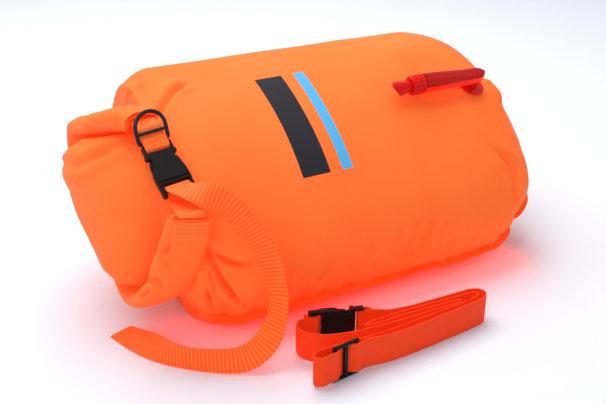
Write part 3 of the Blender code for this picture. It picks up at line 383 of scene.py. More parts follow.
def mix_colour(tree, factor, a, b):
    """Mix of two colours by a factor, each colour three numbers or another node's output."""
    item = tree.nodes.new("ShaderNodeMix")
    item.data_type = "RGBA"
    tree.links.new(factor, item.inputs[0])
    for slot, value in ((MIX_A, a), (MIX_B, b)):
        if isinstance(value, tuple):
            item.inputs[slot].default_value = (*value, 1.0)
        else:
            tree.links.new(value, item.inputs[slot])
    return item.outputs[MIX_RESULT]


def noise(tree, coords, scale, detail=3.0):
    """Noise of about the scale's number of lumps in a metre."""
    item = node(tree, "ShaderNodeTexNoise", Scale=scale, Detail=detail)
    tree.links.new(coords, item.inputs["Vector"])
    return item.outputs["Fac"]


def object_coords(tree):
    """Place on the piece in metres."""
    return tree.nodes.new("ShaderNodeTexCoord").outputs["Object"]


def uv_parts(tree):
    """The two parts of the piece's own UV: along it and across it."""
    coords = tree.nodes.new("ShaderNodeUVMap")
    coords.uv_map = "UVMap"
    split = tree.nodes.new("ShaderNodeSeparateXYZ")
    tree.links.new(coords.outputs["UV"], split.inputs[0])
    return split.outputs["X"], split.outputs["Y"]


def bump(tree, shader, height, strength, distance, under=None):
    """Fine relief by a height, on top of the relief under it where there is one."""
    item = node(tree, "ShaderNodeBump", Strength=strength, Distance=distance)
    tree.links.new(height, item.inputs["Height"])
    if under is not None:
        tree.links.new(under, item.inputs["Normal"])
    tree.links.new(item.outputs["Normal"], shader.inputs["Normal"])
    return item.outputs["Normal"]


def mottle_roughness(tree, shader, height, low, high):
    """Roughness from low to high, as the height goes from 0 to 1."""
    item = node(tree, "ShaderNodeMapRange", To_Min=low, To_Max=high)
    tree.links.new(height, item.inputs["Value"])
    tree.links.new(item.outputs[0], shader.inputs["Roughness"])


# grain of the cloth, in lumps to a metre: patches of colour and of gloss, handling marks, the weave's threads
COLOUR_PATCHES = 16.0
GLOSS_PATCHES = 42.0
HANDLING_MARKS = 70.0
THREADS = 1500.0


def coated_fabric(name, colour, deep, printed=False, welds=False, glow=0.165):
    """Welded fluorescent cloth: fine weave under the coating, soft mottling and faint handling marks.

    Its emission, a painted glow that lifts its shaded parts, is kept where no print covers it.
    """
    # painted glow: emission in a warm red keeps the cloth's shaded parts bright
    mat, tree, shader = new_material(
        name, colour, 0.48, Subsurface_Weight=0.08, Subsurface_Radius=(0.006, 0.002, 0.001),
        Subsurface_Scale=1.0, Specular_IOR_Level=0.03, Emission_Color=(*PAINTED_GLOW, 1.0), Emission_Strength=glow,
    )
    coords = object_coords(tree)
    tone = math_node(tree, "MULTIPLY_ADD", noise(tree, coords, COLOUR_PATCHES), 1.6, -0.35, clamp=True)
    base = mix_colour(tree, tone, colour, deep)
    if printed:
        base, bare = print_bars(tree, base)
        tree.links.new(math_node(tree, "MULTIPLY", bare, glow), shader.inputs["Emission Strength"])
    tree.links.new(base, shader.inputs["Base Color"])
    mottle_roughness(tree, shader, noise(tree, coords, GLOSS_PATCHES, 4.0), 0.38, 0.54)
    weave = node(tree, "ShaderNodeTexVoronoi", Scale=THREADS)
    tree.links.new(coords, weave.inputs["Vector"])
    relief = bump(tree, shader, weave.outputs["Distance"], 0.10, 0.0002)
    relief = bump(tree, shader, noise(tree, coords, HANDLING_MARKS), 0.16, 0.0012, relief)
    if welds:
        weld_lines(tree, shader, relief)
    return mat


# weld beads by their way in from the near rim, and how steeply they rise
WELD_PLACES = (0.0022, 0.0052, 0.0082)
WELD_SLOPE = 1400.0


def weld_lines(tree, shader, under):
    """Three narrow weld beads across the cloth: a ridge of straight flanks at each of their places."""
    along = uv_parts(tree)[0]
    total = 0.0
    for place in WELD_PLACES:
        off = math_node(tree, "ABSOLUTE", math_node(tree, "SUBTRACT", along, ROLL_LENGTH - place))
        bead = math_node(tree, "SUBTRACT", 1.0, math_node(tree, "MULTIPLY", off, WELD_SLOPE), clamp=True)
        total = math_node(tree, "ADD", total, bead)
    bump(tree, shader, total, 0.35, 0.0010, under)


# printed bars: middle and half width along the bag, and colour, then what both share
BARS = (
    (-0.062, 0.0125, (0.030, 0.028, 0.034)),
    (-0.034, 0.0050, (0.10, 0.42, 0.75)),
)
BAR_REACH = 0.052
BAR_SHIFT = 0.004
PRINT_SLOPE = 2500.0


def print_bars(tree, base):
    """Two plain printed bars across the panel, dark and pale blue, and how bare of print each place is."""
    x, u = uv_parts(tree)
    bare = 1.0
    past = math_node(tree, "ABSOLUTE", math_node(tree, "ADD", u, BAR_SHIFT))
    ends = math_node(tree, "MULTIPLY", math_node(tree, "SUBTRACT", BAR_REACH, past), PRINT_SLOPE, clamp=True)
    for centre, half, colour in BARS:
        off = math_node(tree, "ABSOLUTE", math_node(tree, "SUBTRACT", x, centre))
        inside = math_node(tree, "MULTIPLY", math_node(tree, "SUBTRACT", half, off), PRINT_SLOPE, clamp=True)
        inside = math_node(tree, "MULTIPLY", inside, ends)
        base = mix_colour(tree, inside, base, colour)
        bare = math_node(tree, "MULTIPLY", bare, math_node(tree, "SUBTRACT", 1.0, inside))
    return base, bare


def webbing(name, colour, deep, ribs, yarns, strength, glow):
    """Woven tape by its own UV in metres: ribs across it, yarn columns along it, painted shade in the
    grooves.

    The ribs are a sharpened sine. The yarns are a second sine, staggered by half a turn from rib to rib.
    """
    # painted glow: the tape's emission lifts its shaded parts
    mat, tree, shader = new_material(
        name, colour, 0.66, Specular_IOR_Level=0.25, Emission_Color=(*PAINTED_GLOW, 1.0), Emission_Strength=glow,
    )
    along, across = uv_parts(tree)
    rib = half_wave(tree, math_node(tree, "MULTIPLY", along, 2 * math.pi / ribs))
    stagger = math_node(tree, "MULTIPLY", along, math.pi / ribs)
    columns = math_node(tree, "MULTIPLY", across, 2 * math.pi / yarns)
    yarn = half_wave(tree, math_node(tree, "ADD", columns, stagger))
    crown = math_node(tree, "MULTIPLY_ADD", yarn, 0.5, 0.5)
    height = math_node(tree, "MULTIPLY", math_node(tree, "POWER", rib, 1.7), crown)
    fuzz = noise(tree, object_coords(tree), 900.0)
    # painted shade: the low places between ribs and yarns get the deep colour
    groove_shading = math_node(tree, "ADD", height, math_node(tree, "MULTIPLY", fuzz, 0.35))
    tone = math_node(tree, "MULTIPLY", groove_shading, 0.8, clamp=True)
    tree.links.new(mix_colour(tree, tone, deep, colour), shader.inputs["Base Color"])
    relief = bump(tree, shader, height, strength, 0.0006)
    bump(tree, shader, fuzz, 0.25, 0.0003, relief)
    return mat


def moulded_black():
    """Satin acetal: fine spark texture, rubbed a little brighter in places."""
    mat, tree, shader = new_material("black_acetal", (0.009, 0.006, 0.006), 0.42, Specular_IOR_Level=0.13)
    coords = object_coords(tree)
    rubbed = mix_colour(tree, noise(tree, coords, 140.0, 4.0), (0.006, 0.004, 0.004), (0.012, 0.008, 0.008))
    tree.links.new(rubbed, shader.inputs["Base Color"])
    mottle_roughness(tree, shader, noise(tree, coords, 60.0), 0.30, 0.50)
    bump(tree, shader, noise(tree, coords, 2600.0, 2.0), 0.18, 0.0002)
    return mat


def ring_black():
    """Smooth moulded ring, glossier than the buckle."""
    mat, tree, shader = new_material("black_ring", (0.008, 0.007, 0.008), 0.26, Specular_IOR_Level=0.35)
    coords = object_coords(tree)
    rubbed = mix_colour(tree, noise(tree, coords, 90.0), (0.006, 0.006, 0.007), (0.014, 0.013, 0.014))
    tree.links.new(rubbed, shader.inputs["Base Color"])
    bump(tree, shader, noise(tree, coords, 500.0), 0.12, 0.0003)
    return mat


# a hose's flat face: its distance from the seam's plane, how steeply its painted shade comes in, and the dark
# red of that painted shade
TUBE_FACE = 0.0892
TUBE_FACE_SLOPE = 900.0
TUBE_FACE_SHADE_RED = (0.26, 0.003, 0.002)


def shade_hose_face(tree, coords, base):
    """The colour, with a painted shade, a darker red, at the distance from the seam's plane where a hose's
    flat face lies.
    """
    height = tree.nodes.new("ShaderNodeVectorMath")
    height.operation = "DOT_PRODUCT"
    tree.links.new(coords, height.inputs[0])
    height.inputs[1].default_value = (0, -math.sin(ROLL), math.cos(ROLL))
    seam = AXIS_Z * math.cos(ROLL) - AXIS_Y * math.sin(ROLL)
    off = math_node(tree, "ABSOLUTE", math_node(tree, "SUBTRACT", height.outputs["Value"], seam))
    past = math_node(tree, "SUBTRACT", off, TUBE_FACE)
    face_shade_mask = math_node(tree, "MULTIPLY", past, TUBE_FACE_SLOPE, clamp=True)
    return mix_colour(tree, face_shade_mask, base, TUBE_FACE_SHADE_RED)


def red_vinyl(name, colour, deep, glow, face_shaded=False):
    """Soft glossy vinyl, deeper red in places; a hose's flat face has a painted shade, the darkest."""
    # painted glow: the vinyl's emission lifts its shaded parts
    mat, tree, shader = new_material(
        name, colour, 0.20, Specular_IOR_Level=0.16, Coat_Weight=0.07, Coat_Roughness=0.05, IOR=1.5,
        Emission_Color=(*PAINTED_VINYL_GLOW, 1.0), Emission_Strength=glow,
    )
    coords = object_coords(tree)
    base = mix_colour(tree, noise(tree, coords, 120.0), colour, deep)
    if face_shaded:
        base = shade_hose_face(tree, coords, base)
    tree.links.new(base, shader.inputs["Base Color"])
    bump(tree, shader, noise(tree, coords, 260.0), 0.22, 0.0006)
    return mat


def fine_grained(name, colour, roughness, grains, strength, distance, **sockets):
    """One plain colour with a fine grain."""
    mat, tree, shader = new_material(name, colour, roughness, **sockets)
    bump(tree, shader, noise(tree, object_coords(tree), grains), strength, distance)
    return mat


ROLL_LENGTH = float(path_length(spline(ROLL_ROUTE, ROLL_POINTS)[:, :3])[-1])
shell = coated_fabric("panel_fabric", ORANGE, ORANGE_DEEP, printed=True)
cloth = coated_fabric("coated_fabric", ORANGE, ORANGE_DEEP)
roll_cloth = coated_fabric("roll_fabric", ORANGE, ORANGE_DEEP, welds=True)
# the flange's deeper red is partly its own colour and partly painted shade, where it lies under the bulging
# skins
weld_colour_and_shade = coated_fabric("welded_flange_and_shade", (1.0, 0.140, 0.018), (1.0, 0.095, 0.010), glow=0.14)
# each webbing's deep colour is painted shade in its grooves
strap_cloth = webbing(
    "strap_webbing", (1.0, 0.255, 0.040), (1.0, 0.070, 0.003), STRAP_RIBS, STRAP_YARNS, 0.6, 0.17,
)
anchor_cloth = webbing(
    "anchor_webbing_cloth", (1.0, 0.300, 0.055), (1.0, 0.090, 0.006), ANCHOR_RIBS, ANCHOR_YARNS, 0.8, 0.16,
)
belt_cloth = webbing(
    "belt_webbing_cloth", (1.0, 0.085, 0.004), (0.84, 0.026, 0.001), BELT_RIBS, BELT_YARNS, 0.7, 0.13,
)
acetal = moulded_black()
ring_finish = ring_black()
vinyl = red_vinyl("hose_vinyl", (0.62, 0.006, 0.003), (0.50, 0.004, 0.002), 0.11)
# the hose vinyl carries a painted shade on its flat face
hose_vinyl = red_vinyl("hose_tube_vinyl", (1.0, 0.045, 0.028), (0.90, 0.026, 0.014), 0.20, face_shaded=True)
mouth_vinyl = red_vinyl("mouthpiece_vinyl", (0.70, 0.004, 0.002), (0.50, 0.002, 0.001), 0.11)
rubber = fine_grained("valve_rubber", (0.04, 0.04, 0.042), 0.7, 1800.0, 0.3, 0.0002)
wire = fine_grained("spring_wire", (0.62, 0.62, 0.63), 0.26, 3000.0, 0.2, 0.0001, Metallic=1.0)
strip = fine_grained("stiff_strip", (0.70, 0.70, 0.67), 0.5, 300.0, 0.15, 0.0003)


# The bag


def toward_mouth(x):
    """0 on the chamber, growing to 1 over the shoulder, at the mouth."""
    return np.clip((MOUTH_X + SHOULDER - x) / SHOULDER, 0, 1)


def along_neck(x):
    """0 at the mouth, growing to 1 at the far end of the neck."""
    return np.clip((MOUTH_X - x) / (MOUTH_X - NECK_X), 0, 1)


def crown_height(x):
    """Height of a chamber along its middle, falling over at the base by an arc of the fourth power."""
    t = np.clip((x - TAPER_X) / (BASE_X - TAPER_X), 0, 1)
    return HALF_DEPTH * np.sqrt(np.maximum(1 - t**4, 0))


def half_width(x):
    """Straight sides, a round corner at the base and a slight draw-in at the mouth and over the neck."""
    start = BASE_X - CORNER
    arc = np.sqrt(np.maximum(CORNER**2 - np.maximum(x - start, 0) ** 2, 0))
    w = np.where(x > start, HALF_WIDTH - CORNER + arc, HALF_WIDTH)
    t, s = toward_mouth(x), along_neck(x)
    w = w * (1 - FRONT_DRAW * t * t)
    return w - NECK_DRAW * smooth(s / NECK_DRAW_SHARE) - NECK_TAPER * s**3


def front_height(x):
    """Crown of the front panel along its middle, falling over at the base and at the neck."""
    t, s = toward_mouth(x), along_neck(x)
    return crown_height(x) * (1 - FRONT_DRAW * t * t) * np.sqrt(np.maximum(1 - s**3, 0.0))


def back_height(x):
    """Crown of the back panel along its middle, a little lower at the mouth."""
    t = toward_mouth(x)
    return crown_height(x) * (1 - BACK_DRAW * t * t)


# dips of the near base corner: place and spread in degrees round it, depth; then their height over the seam
CORNER_DIPS = ((-57.0, 22.0, 0.0085), (-56.5, 5.0, 0.0050))
DIP_HEIGHT = 0.048

# slack of the base beside the dips: its size, where it starts, the way over which it grows, its middle line
BASE_SLACK = 0.0042
SLACK_X = 0.115
SLACK_GROWTH = 0.055
SLACK_U = -0.045


def draw_in(x, u, v=0.0):
    """Plan of the bag with its near base corner folded in: a broad dip round the corner, a narrow one in it.

    Places are drawn to the middle of the corner's arc, outer ones most. The base beside it is slack.
    """
    centre_x, centre_u = BASE_X - CORNER, CORNER - HALF_WIDTH
    dx, du = x - centre_x, u - centre_u
    far = np.hypot(dx, du)
    angle = np.degrees(np.arctan2(du, dx))
    pull = sum(depth * bell(angle, place, spread) for place, spread, depth in CORNER_DIPS)
    near = 1 - smooth(np.abs(v) / DIP_HEIGHT)
    share = 1 - pull / CORNER * np.minimum(far / CORNER, 1.1) ** 4 * near
    slack = BASE_SLACK * smooth((x - SLACK_X) / SLACK_GROWTH) * bell(u, SLACK_U, 0.045)
    return centre_x + dx * share - slack, centre_u + du * share


# the closing edge of the neck: how far it goes out in its middle and back at its near and its far corner
BOW_MIDDLE = -0.0058
BOW_NEAR = 0.0070
BOW_FAR = 0.0045


def bow_mouth(x, u):
    """Shift along the bag that rounds off the neck's closing edge: out in its middle, back at its corners."""
    start = MOUTH_X - ARM_ONSET
    reach = np.clip((start - x) / (start - NECK_X), 0, 1) ** 2
    middle = BOW_MIDDLE * bell(u, ARM_LINE_U, 0.044)
    near_corner = BOW_NEAR * smooth((-0.052 - u) / 0.022)
    far_corner = BOW_FAR * smooth((u - 0.046) / 0.020)
    return x + reach * (middle + near_corner + far_corner)


def outline():
    """Seam line in plan, evenly spaced, and the way along it.

    It runs from the near mouth corner down the side, round the base's two corners and back up the far side.
    """
    start = BASE_X - CORNER
    turn = np.linspace(-math.pi / 2, 0, 80)
    near = np.stack([start + CORNER * np.cos(turn), -(HALF_WIDTH - CORNER) + CORNER * np.sin(turn)], axis=1)
    x = np.linspace(MOUTH_X, start, 60)
    side = np.stack([x, -half_width(x)], axis=1)
    mirror = np.array([1, -1])
    pts = np.vstack([side[:-1], near, near[::-1] * mirror, (side[::-1] * mirror)[1:]])
    way = path_length(pts)
    s = np.linspace(0, way[-1], 700)
    return np.stack([np.interp(s, way, pts[:, 0]), np.interp(s, way, pts[:, 1])], axis=1), s


# the seam line with round corners, the way along it, and the same line with its near base corner folded in
ROUND, SEAM_WAY = outline()
SEAM = np.stack(draw_in(ROUND[:, 0], ROUND[:, 1]), axis=1)

# tucks at the seam: how far apart they lie and how deep each skin's are, then both skins' broad unevenness
PUCKER_PITCH = 0.0205
FRONT_PUCKERS = 0.0024
BACK_PUCKERS = 0.0036
UNEVENNESS = 0.0004


def pucker_phase(s):
    """Phase of the seam's tucks: one turn for each pitch, hurried and held back by two slow waves."""
    return 2 * math.pi * s / PUCKER_PITCH + 1.7 * np.sin(s / 0.043 + 1.0) + 1.2 * np.sin(s / 0.0197 + 2.1)


def puckers(grid, normals, strength):
    """Short tucks square to the seam: deep narrow valleys between puffed lobes.

    They fade with the distance from the seam, and their reach and size vary along it in slow waves.
    """
    flat = grid.reshape(-1, 3)
    near = np.zeros(len(flat), dtype=int)
    far = np.full(len(flat), np.inf)
    for i in range(0, len(SEAM), 2):
        d = (flat[:, 0] - SEAM[i, 0]) ** 2 + (flat[:, 1] - SEAM[i, 1]) ** 2 + flat[:, 2] ** 2
        closer = d < far
        far = np.where(closer, d, far)
        near = np.where(closer, i, near)
    far = np.sqrt(far)
    s = SEAM_WAY[near]
    reach = 0.017 + 0.008 * np.sin(s / 0.031) + 0.005 * np.sin(s / 0.0113 + 1)
    size = 0.55 + 0.30 * np.sin(s / 0.052 + 0.7) + 0.15 * np.sin(s / 0.019 + 2.0)
    valley = (0.5 + 0.5 * np.cos(pucker_phase(s))) ** 2.2
    puff = 0.35 * (0.5 - 0.5 * np.cos(pucker_phase(s)))
    fade = np.exp(-((far / reach) ** 1.5))
    move = strength * size * fade * (puff - valley)
    return grid + normals * move.reshape(grid.shape[:-1])[..., None]


def long_waves(grid, normals, size):
    """Very shallow broad unevenness of an inflated panel."""
    x, u = grid[..., 0], grid[..., 1]
    broad = np.sin(x / 0.031 + 2.2 * np.sin(u / 0.05)) * np.sin(u / 0.037 + 0.8)
    move = broad + 0.6 * np.sin(x / 0.017 + u / 0.023)
    return grid + normals * (size * move)[..., None]


def stations(low, high, count, low_pull, high_pull):
    """Distances from low to high, closer together towards each end by the two shares."""
    t = np.linspace(0, 1, count)
    ease = t + low_pull * np.sin(math.pi * t) * (t - 1) * 0.5 + high_pull * np.sin(math.pi * t) * t * 0.5
    ease = (ease - ease[0]) / (ease[-1] - ease[0])
    return low + (high - low) * np.clip(ease, 0, 1)


# creases: points of the line in the bag frame, in millimetres; depth and width of the valley, in metres; the
# shares of the depth at the first and the last point. A crease of negative depth is a raised fold.
FRONT_CREASES = [
    ([(-228.3, 48.6, 4.0), (-225.8, 34.7, 18.1), (-222.8, 22.4, 31.5), (-217.2, 16.5, 43.6),
      (-210.7, 13.7, 52.8), (-203.3, 13.5, 58.3), (-195.1, 15.2, 61.8), (-187.5, 19.7, 62.4)],
      0.0088, 0.0036, 0.7, 0.15),
    ([(-228.6, 40.6, 4.8), (-223.9, 18.2, 29.8), (-218.6, 9.8, 42.8)], 0.0036, 0.0030, 1.0, 0.0),
    ([(-125.2, 58.6, 68.4), (-134.9, 56.2, 69.6), (-144.5, 51.1, 70.1), (-152.1, 44.0, 70.1),
      (-159.2, 36.4, 69.4), (-166.3, 29.5, 66.7)], 0.0050, 0.0028, 0.0, 0.9),
    ([(-158.7, 75.7, 54.2), (-165.7, 73.0, 52.3), (-170.7, 72.2, 43.0)], 0.0030, 0.0040, 0.0, 0.8),
    ([(-163.6, -84.0, 47.4), (-156.5, -92.1, 46.3), (-150.3, -97.6, 45.1), (-142.1, -102.3, 43.1),
      (-127.1, -104.4, 42.6)], 0.0062, 0.0017, 1.0, 0.0),
    ([(-163.3, -88.0, 46.2), (-160.1, -95.2, 41.4), (-157.9, -102.4, 36.0), (-153.3, -110.4, 29.2),
      (-147.2, -117.9, 20.5), (-138.7, -122.7, 10.4)], 0.0078, 0.0017, 1.0, 0.4),
    ([(-164.3, -90.0, 43.2), (-163.5, -100.2, 34.4), (-160.9, -109.4, 22.0), (-154.0, -116.5, 10.0)],
      0.0050, 0.0016, 1.0, 0.2),
    ([(-167.0, -93.0, 37.3), (-166.0, -99.7, 28.0), (-165.3, -108.9, 17.5), (-161.3, -114.7, 4.2)],
      0.0066, 0.0018, 1.0, 0.8),
    ([(-200.0, -62.0, 30.0), (-207.0, -58.0, 24.0), (-216.0, -48.0, 16.0), (-224.0, -38.0, 6.0)],
      0.0035, 0.0045, 0.6, 0.4),
    ([(106.0, -62.0, 67.1), (119.0, -72.6, 59.8), (125.4, -78.4, 55.2), (127.8, -86.6, 50.2),
      (126.1, -95.1, 44.0), (123.5, -102.8, 36.9), (122.9, -107.3, 24.0), (131.0, -102.0, 8.0)],
      0.0052, 0.0036, 0.0, 1.0),
    ([(139.8, -60.0, 50.0), (144.0, -72.0, 43.0), (143.0, -86.0, 34.0), (136.0, -98.0, 24.0)],
      -0.0030, 0.0080, 0.0, 0.2),
    ([(138.0, 10.0, 69.0), (144.0, -6.0, 66.5), (146.0, -22.0, 62.0)], -0.0055, 0.0100, 0.2, 0.0),
    ([(158.0, 4.0, 54.0), (160.0, -12.0, 52.0), (160.0, -26.0, 48.0)], 0.0040, 0.0110, 0.2, 0.2),
    ([(50.0, 46.0, 67.0), (90.0, 56.0, 65.0), (122.0, 60.0, 61.0)], -0.0040, 0.0170, 0.0, 0.5),
    ([(35.8, -101.5, 45.1), (30.6, -109.8, 36.7), (22.6, -116.1, 28.0), (17.7, -120.4, 15.5)],
      0.0036, 0.0034, 0.0, 1.0),
    ([(23.0, -100.7, 45.8), (15.6, -109.8, 36.7), (7.7, -116.1, 28.0), (2.8, -120.4, 15.6)],
      0.0028, 0.0034, 0.0, 1.0),
    ([(3.5, -104.5, 42.5), (-2.2, -111.7, 34.6), (-9.7, -117.6, 21.4)], 0.0022, 0.0034, 0.0, 1.0),
    ([(54.4, -117.3, 26.1), (50.5, -120.8, 18.8), (48.7, -123.1, 8.5)], 0.0024, 0.0028, 0.0, 1.0),
    ([(76.9, -118.1, 24.5), (72.4, -121.6, 15.8), (68.9, -123.5, 6.2)], 0.0020, 0.0026, 0.0, 1.0),
    ([(-20.1, -108.9, 37.7), (-28.0, -115.7, 28.7), (-37.0, -119.4, 19.6)], 0.0018, 0.0042, 0.0, 1.0),
    ([(-57.7, -111.4, 34.9), (-65.1, -116.8, 27.0), (-73.6, -120.7, 16.8)], 0.0018, 0.0040, 0.0, 1.0),
    ([(-93.4, -112.6, 33.2), (-100.7, -117.4, 26.0), (-107.1, -121.3, 15.1)], 0.0020, 0.0040, 0.0, 1.0),
]

ROLL_CREASES = [
    ([(-196.8, -84.4, 77.8), (-200.2, -88.6, 68.9), (-203.5, -87.5, 62.0), (-203.5, -92.4, 58.9),
      (-199.1, -96.0, 56.7), (-195.3, -99.0, 53.1)], 0.0062, 0.0026, 0.2, 0.4),
    ([(-197.8, -80.4, 79.8), (-202.2, -84.6, 72.9), (-205.5, -85.5, 66.0), (-206.5, -88.4, 62.9)],
      -0.0038, 0.0040, 0.0, 0.2),
    ([(-210.9, -84.0, 22.0), (-210.9, -91.5, 33.0), (-208.3, -96.5, 42.7), (-205.4, -100.8, 37.1),
      (-203.3, -102.3, 24.2)], 0.0064, 0.0032, 0.3, 0.2),
    ([(-214.6, -93.6, 17.6), (-211.2, -97.6, 30.5), (-208.4, -98.7, 34.4)], 0.0054, 0.0028, 0.8, 0.0),
    ([(-216.8, 79.0, 20.7), (-216.8, 62.0, 34.0), (-213.0, 52.0, 44.0)], 0.0032, 0.0030, 0.8, 0.0),
    ([(-214.1, 68.0, 38.3), (-213.0, 60.0, 46.0), (-210.0, 52.0, 55.0)], 0.0026, 0.0030, 0.8, 0.0),
]


# where the evenly spaced part starts on the front skin and on the back one, and where it ends on both
FRONT_EVEN_X = -0.125
BACK_EVEN_X = -0.120
EVEN_END_X = 0.105

# places across the flat inner side of a skin, as shares of its half width
ACROSS = np.linspace(-1, 1, 42)[1:-1]


def skin_stations(start, even, counts, pull):
    """Places along a skin: close together towards its mouth end and its base, and even between."""
    return np.concatenate([
        stations(start, even, counts[0], pull, 0.0)[:-1],
        np.linspace(even, EVEN_END_X, counts[1])[:-1],
        stations(EVEN_END_X, BASE_X, counts[2], 0.0, 0.85),
    ])


def section_turn(count):
    """Angles over a half ellipse, a little closer together towards the seams."""
    turn = np.linspace(0, math.pi, count)
    return turn - 0.10 * np.sin(2 * turn)


def neck_lean(x):
    """Shift of the neck across the bag, growing from the mouth on."""
    return NECK_LEAN * smooth((MOUTH_X - x) / NECK_LEAN_REACH)[:, None]


def arm_ceiling(x, u, under=0.0):
    """Greatest height under the roll's near arm: a slanting plane, out of reach on the chamber."""
    ease = smooth((MOUTH_X - x) / ARM_ONSET)[:, None]
    return ARM_CEILING - under - (u - ARM_LINE_U) * ARM_SLOPE + (1 - ease) * HALF_DEPTH


def inner_side(x, u, v):
    """Flat side of a skin at its seam's height."""
    return np.stack([*draw_in(x, u), np.full(u.shape, v)], axis=-1)


def front_panel():
    """Front skin of the bag and its neck: half ellipses over the seam plane, then creases and seam tucks."""
    x = skin_stations(NECK_X, FRONT_EVEN_X, (110, 78, 60), 0.55)
    turn = section_turn(310)
    w = half_width(x)[:, None]
    h = front_height(x)[:, None]
    shift = neck_lean(x)
    u = w * np.cos(turn) + shift
    v = SEAM_V + h * np.sin(turn)
    v = v - np.maximum(v - arm_ceiling(x, u), 0) * ARM_PRESS
    top = np.stack([*draw_in(bow_mouth(x[:, None], u), u, v), v], axis=-1)
    normals = grid_normals(top)
    normals = normals * np.sign(normals[..., 2:3].mean())
    normals[0] = normals[1]
    normals[-1] = normals[-2]
    top = puckers(top, normals, FRONT_PUCKERS)
    top = long_waves(top, normals, UNEVENNESS)
    top = creases(top, normals, FRONT_CREASES)
    top[..., 2] = np.maximum(top[..., 2], SEAM_V)
    u = w * ACROSS + shift
    low = inner_side(bow_mouth(x[:, None], u), u, SEAM_V)
    grid = np.concatenate([top, low], axis=1)
    print_place = np.stack([np.broadcast_to(x[:, None], grid.shape[:2]), grid[..., 1]], axis=-1)
    return rings_piece("front_panel", to_room(grid), print_place, shell)


def back_panel():
    """Back skin: half ellipses under the seam plane, flattened where the bag lies on the floor."""
    x = skin_stations(MOUTH_X, BACK_EVEN_X, (40, 62, 50), 0.4)
    turn = section_turn(200)
    w = half_width(x)[:, None]
    h = back_height(x)[:, None]
    u = w * np.cos(turn)
    v = -(SEAM_V + h * np.sin(turn))
    top = np.stack([*draw_in(x[:, None], u, v), v], axis=-1)
    normals = grid_normals(top)
    normals = -normals * np.sign(normals[..., 2:3].mean())
    top = puckers(top, normals, BACK_PUCKERS)
    top = long_waves(top, normals, UNEVENNESS)
    top[..., 2] = np.minimum(top[..., 2], -SEAM_V)
    low = inner_side(x[:, None], w * ACROSS, -SEAM_V)
    grid = np.concatenate([top, low], axis=1)
    return rings_piece("back_panel", above_floor(to_room(grid)), None, cloth)


# the flange: how far it stands out, how far it runs under the skins, and where along the seam it is bent
FLANGE_WIDTH = 0.0050
FLANGE_UNDER = 0.003
CORNER_WAY = 0.345
NOTCH_WAY = 0.309
PINCH_WAY = 0.184


def seam_flange():
    """Welded rim round the bag: a thin strip along the seam line, waved in step with the tucks.

    It is wider and lower at the near base corner, narrow in the notch beside it, and raised at one pinch.
    """
    s = np.linspace(0, SEAM_WAY[-1], 900)
    x, u, round_x, round_u = (np.interp(s, SEAM_WAY, line) for line in (*SEAM.T, *ROUND.T))
    ahead = unit(np.stack([np.gradient(round_x), np.gradient(round_u)], axis=1))
    out = np.stack([ahead[:, 1], -ahead[:, 0]], axis=1)
    out = out * np.sign(np.sum(out * np.stack([x, u], axis=1), axis=1, keepdims=True))
    corner = bell(s, CORNER_WAY, 0.020)
    notch = bell(s, NOTCH_WAY, 0.006)
    pinch = bell(s, PINCH_WAY, 0.006)
    ends = smooth(s / 0.02) * smooth((s[-1] - s) / 0.02)
    width = FLANGE_WIDTH + 0.0016 * corner - 0.0034 * notch + 0.0005 * np.sin(s / 0.011)
    width = width * (0.3 + 0.7 * ends)
    across = np.linspace(0, 1, 9)
    reach = -FLANGE_UNDER + (width[:, None] + FLANGE_UNDER) * across
    wave = 0.0012 * np.sin(pucker_phase(s) + 0.6) + 0.0008 * np.sin(s / 0.008 + 1)
    lift = 0.0034 * pinch - 0.0025 * (corner + notch)
    bend = wave[:, None] * across**1.5 + lift[:, None] * across**2
    grid = np.stack([x[:, None] + out[:, :1] * reach, u[:, None] + out[:, 1:] * reach, bend], axis=-1)
    rings = sheet_rings(grid, grid_normals(grid), FLANGE_THICK)
    uv_s = np.broadcast_to(s[:, None], rings.shape[:2])
    uv_w = np.concatenate([reach, reach[:, ::-1]], axis=1)
    return rings_piece("seam_flange", to_room(rings), np.stack([uv_s, uv_w], axis=-1), weld_colour_and_shade)


# the neck behind the front skin: gaps to that skin, the seam and the arm, and its greatest half width
NECK_OVERLAP = 0.004
NECK_END_GAP = 0.0025
NECK_SIDE_GAP = 0.002
NECK_SKIN_GAP = 0.0035
NECK_ARM_GAP = 0.0030
NECK_HALF_WIDTH = 0.1055
NECK_LOW = 0.064
GATHERS = 23

# below the seam the neck drops to a shelf: ways over which it drops and the shelf falls, its height and fall
DROP_WAY = 0.0125
SHELF_WAY = 0.06
SHELF = 0.0088
SHELF_FALL = 0.004


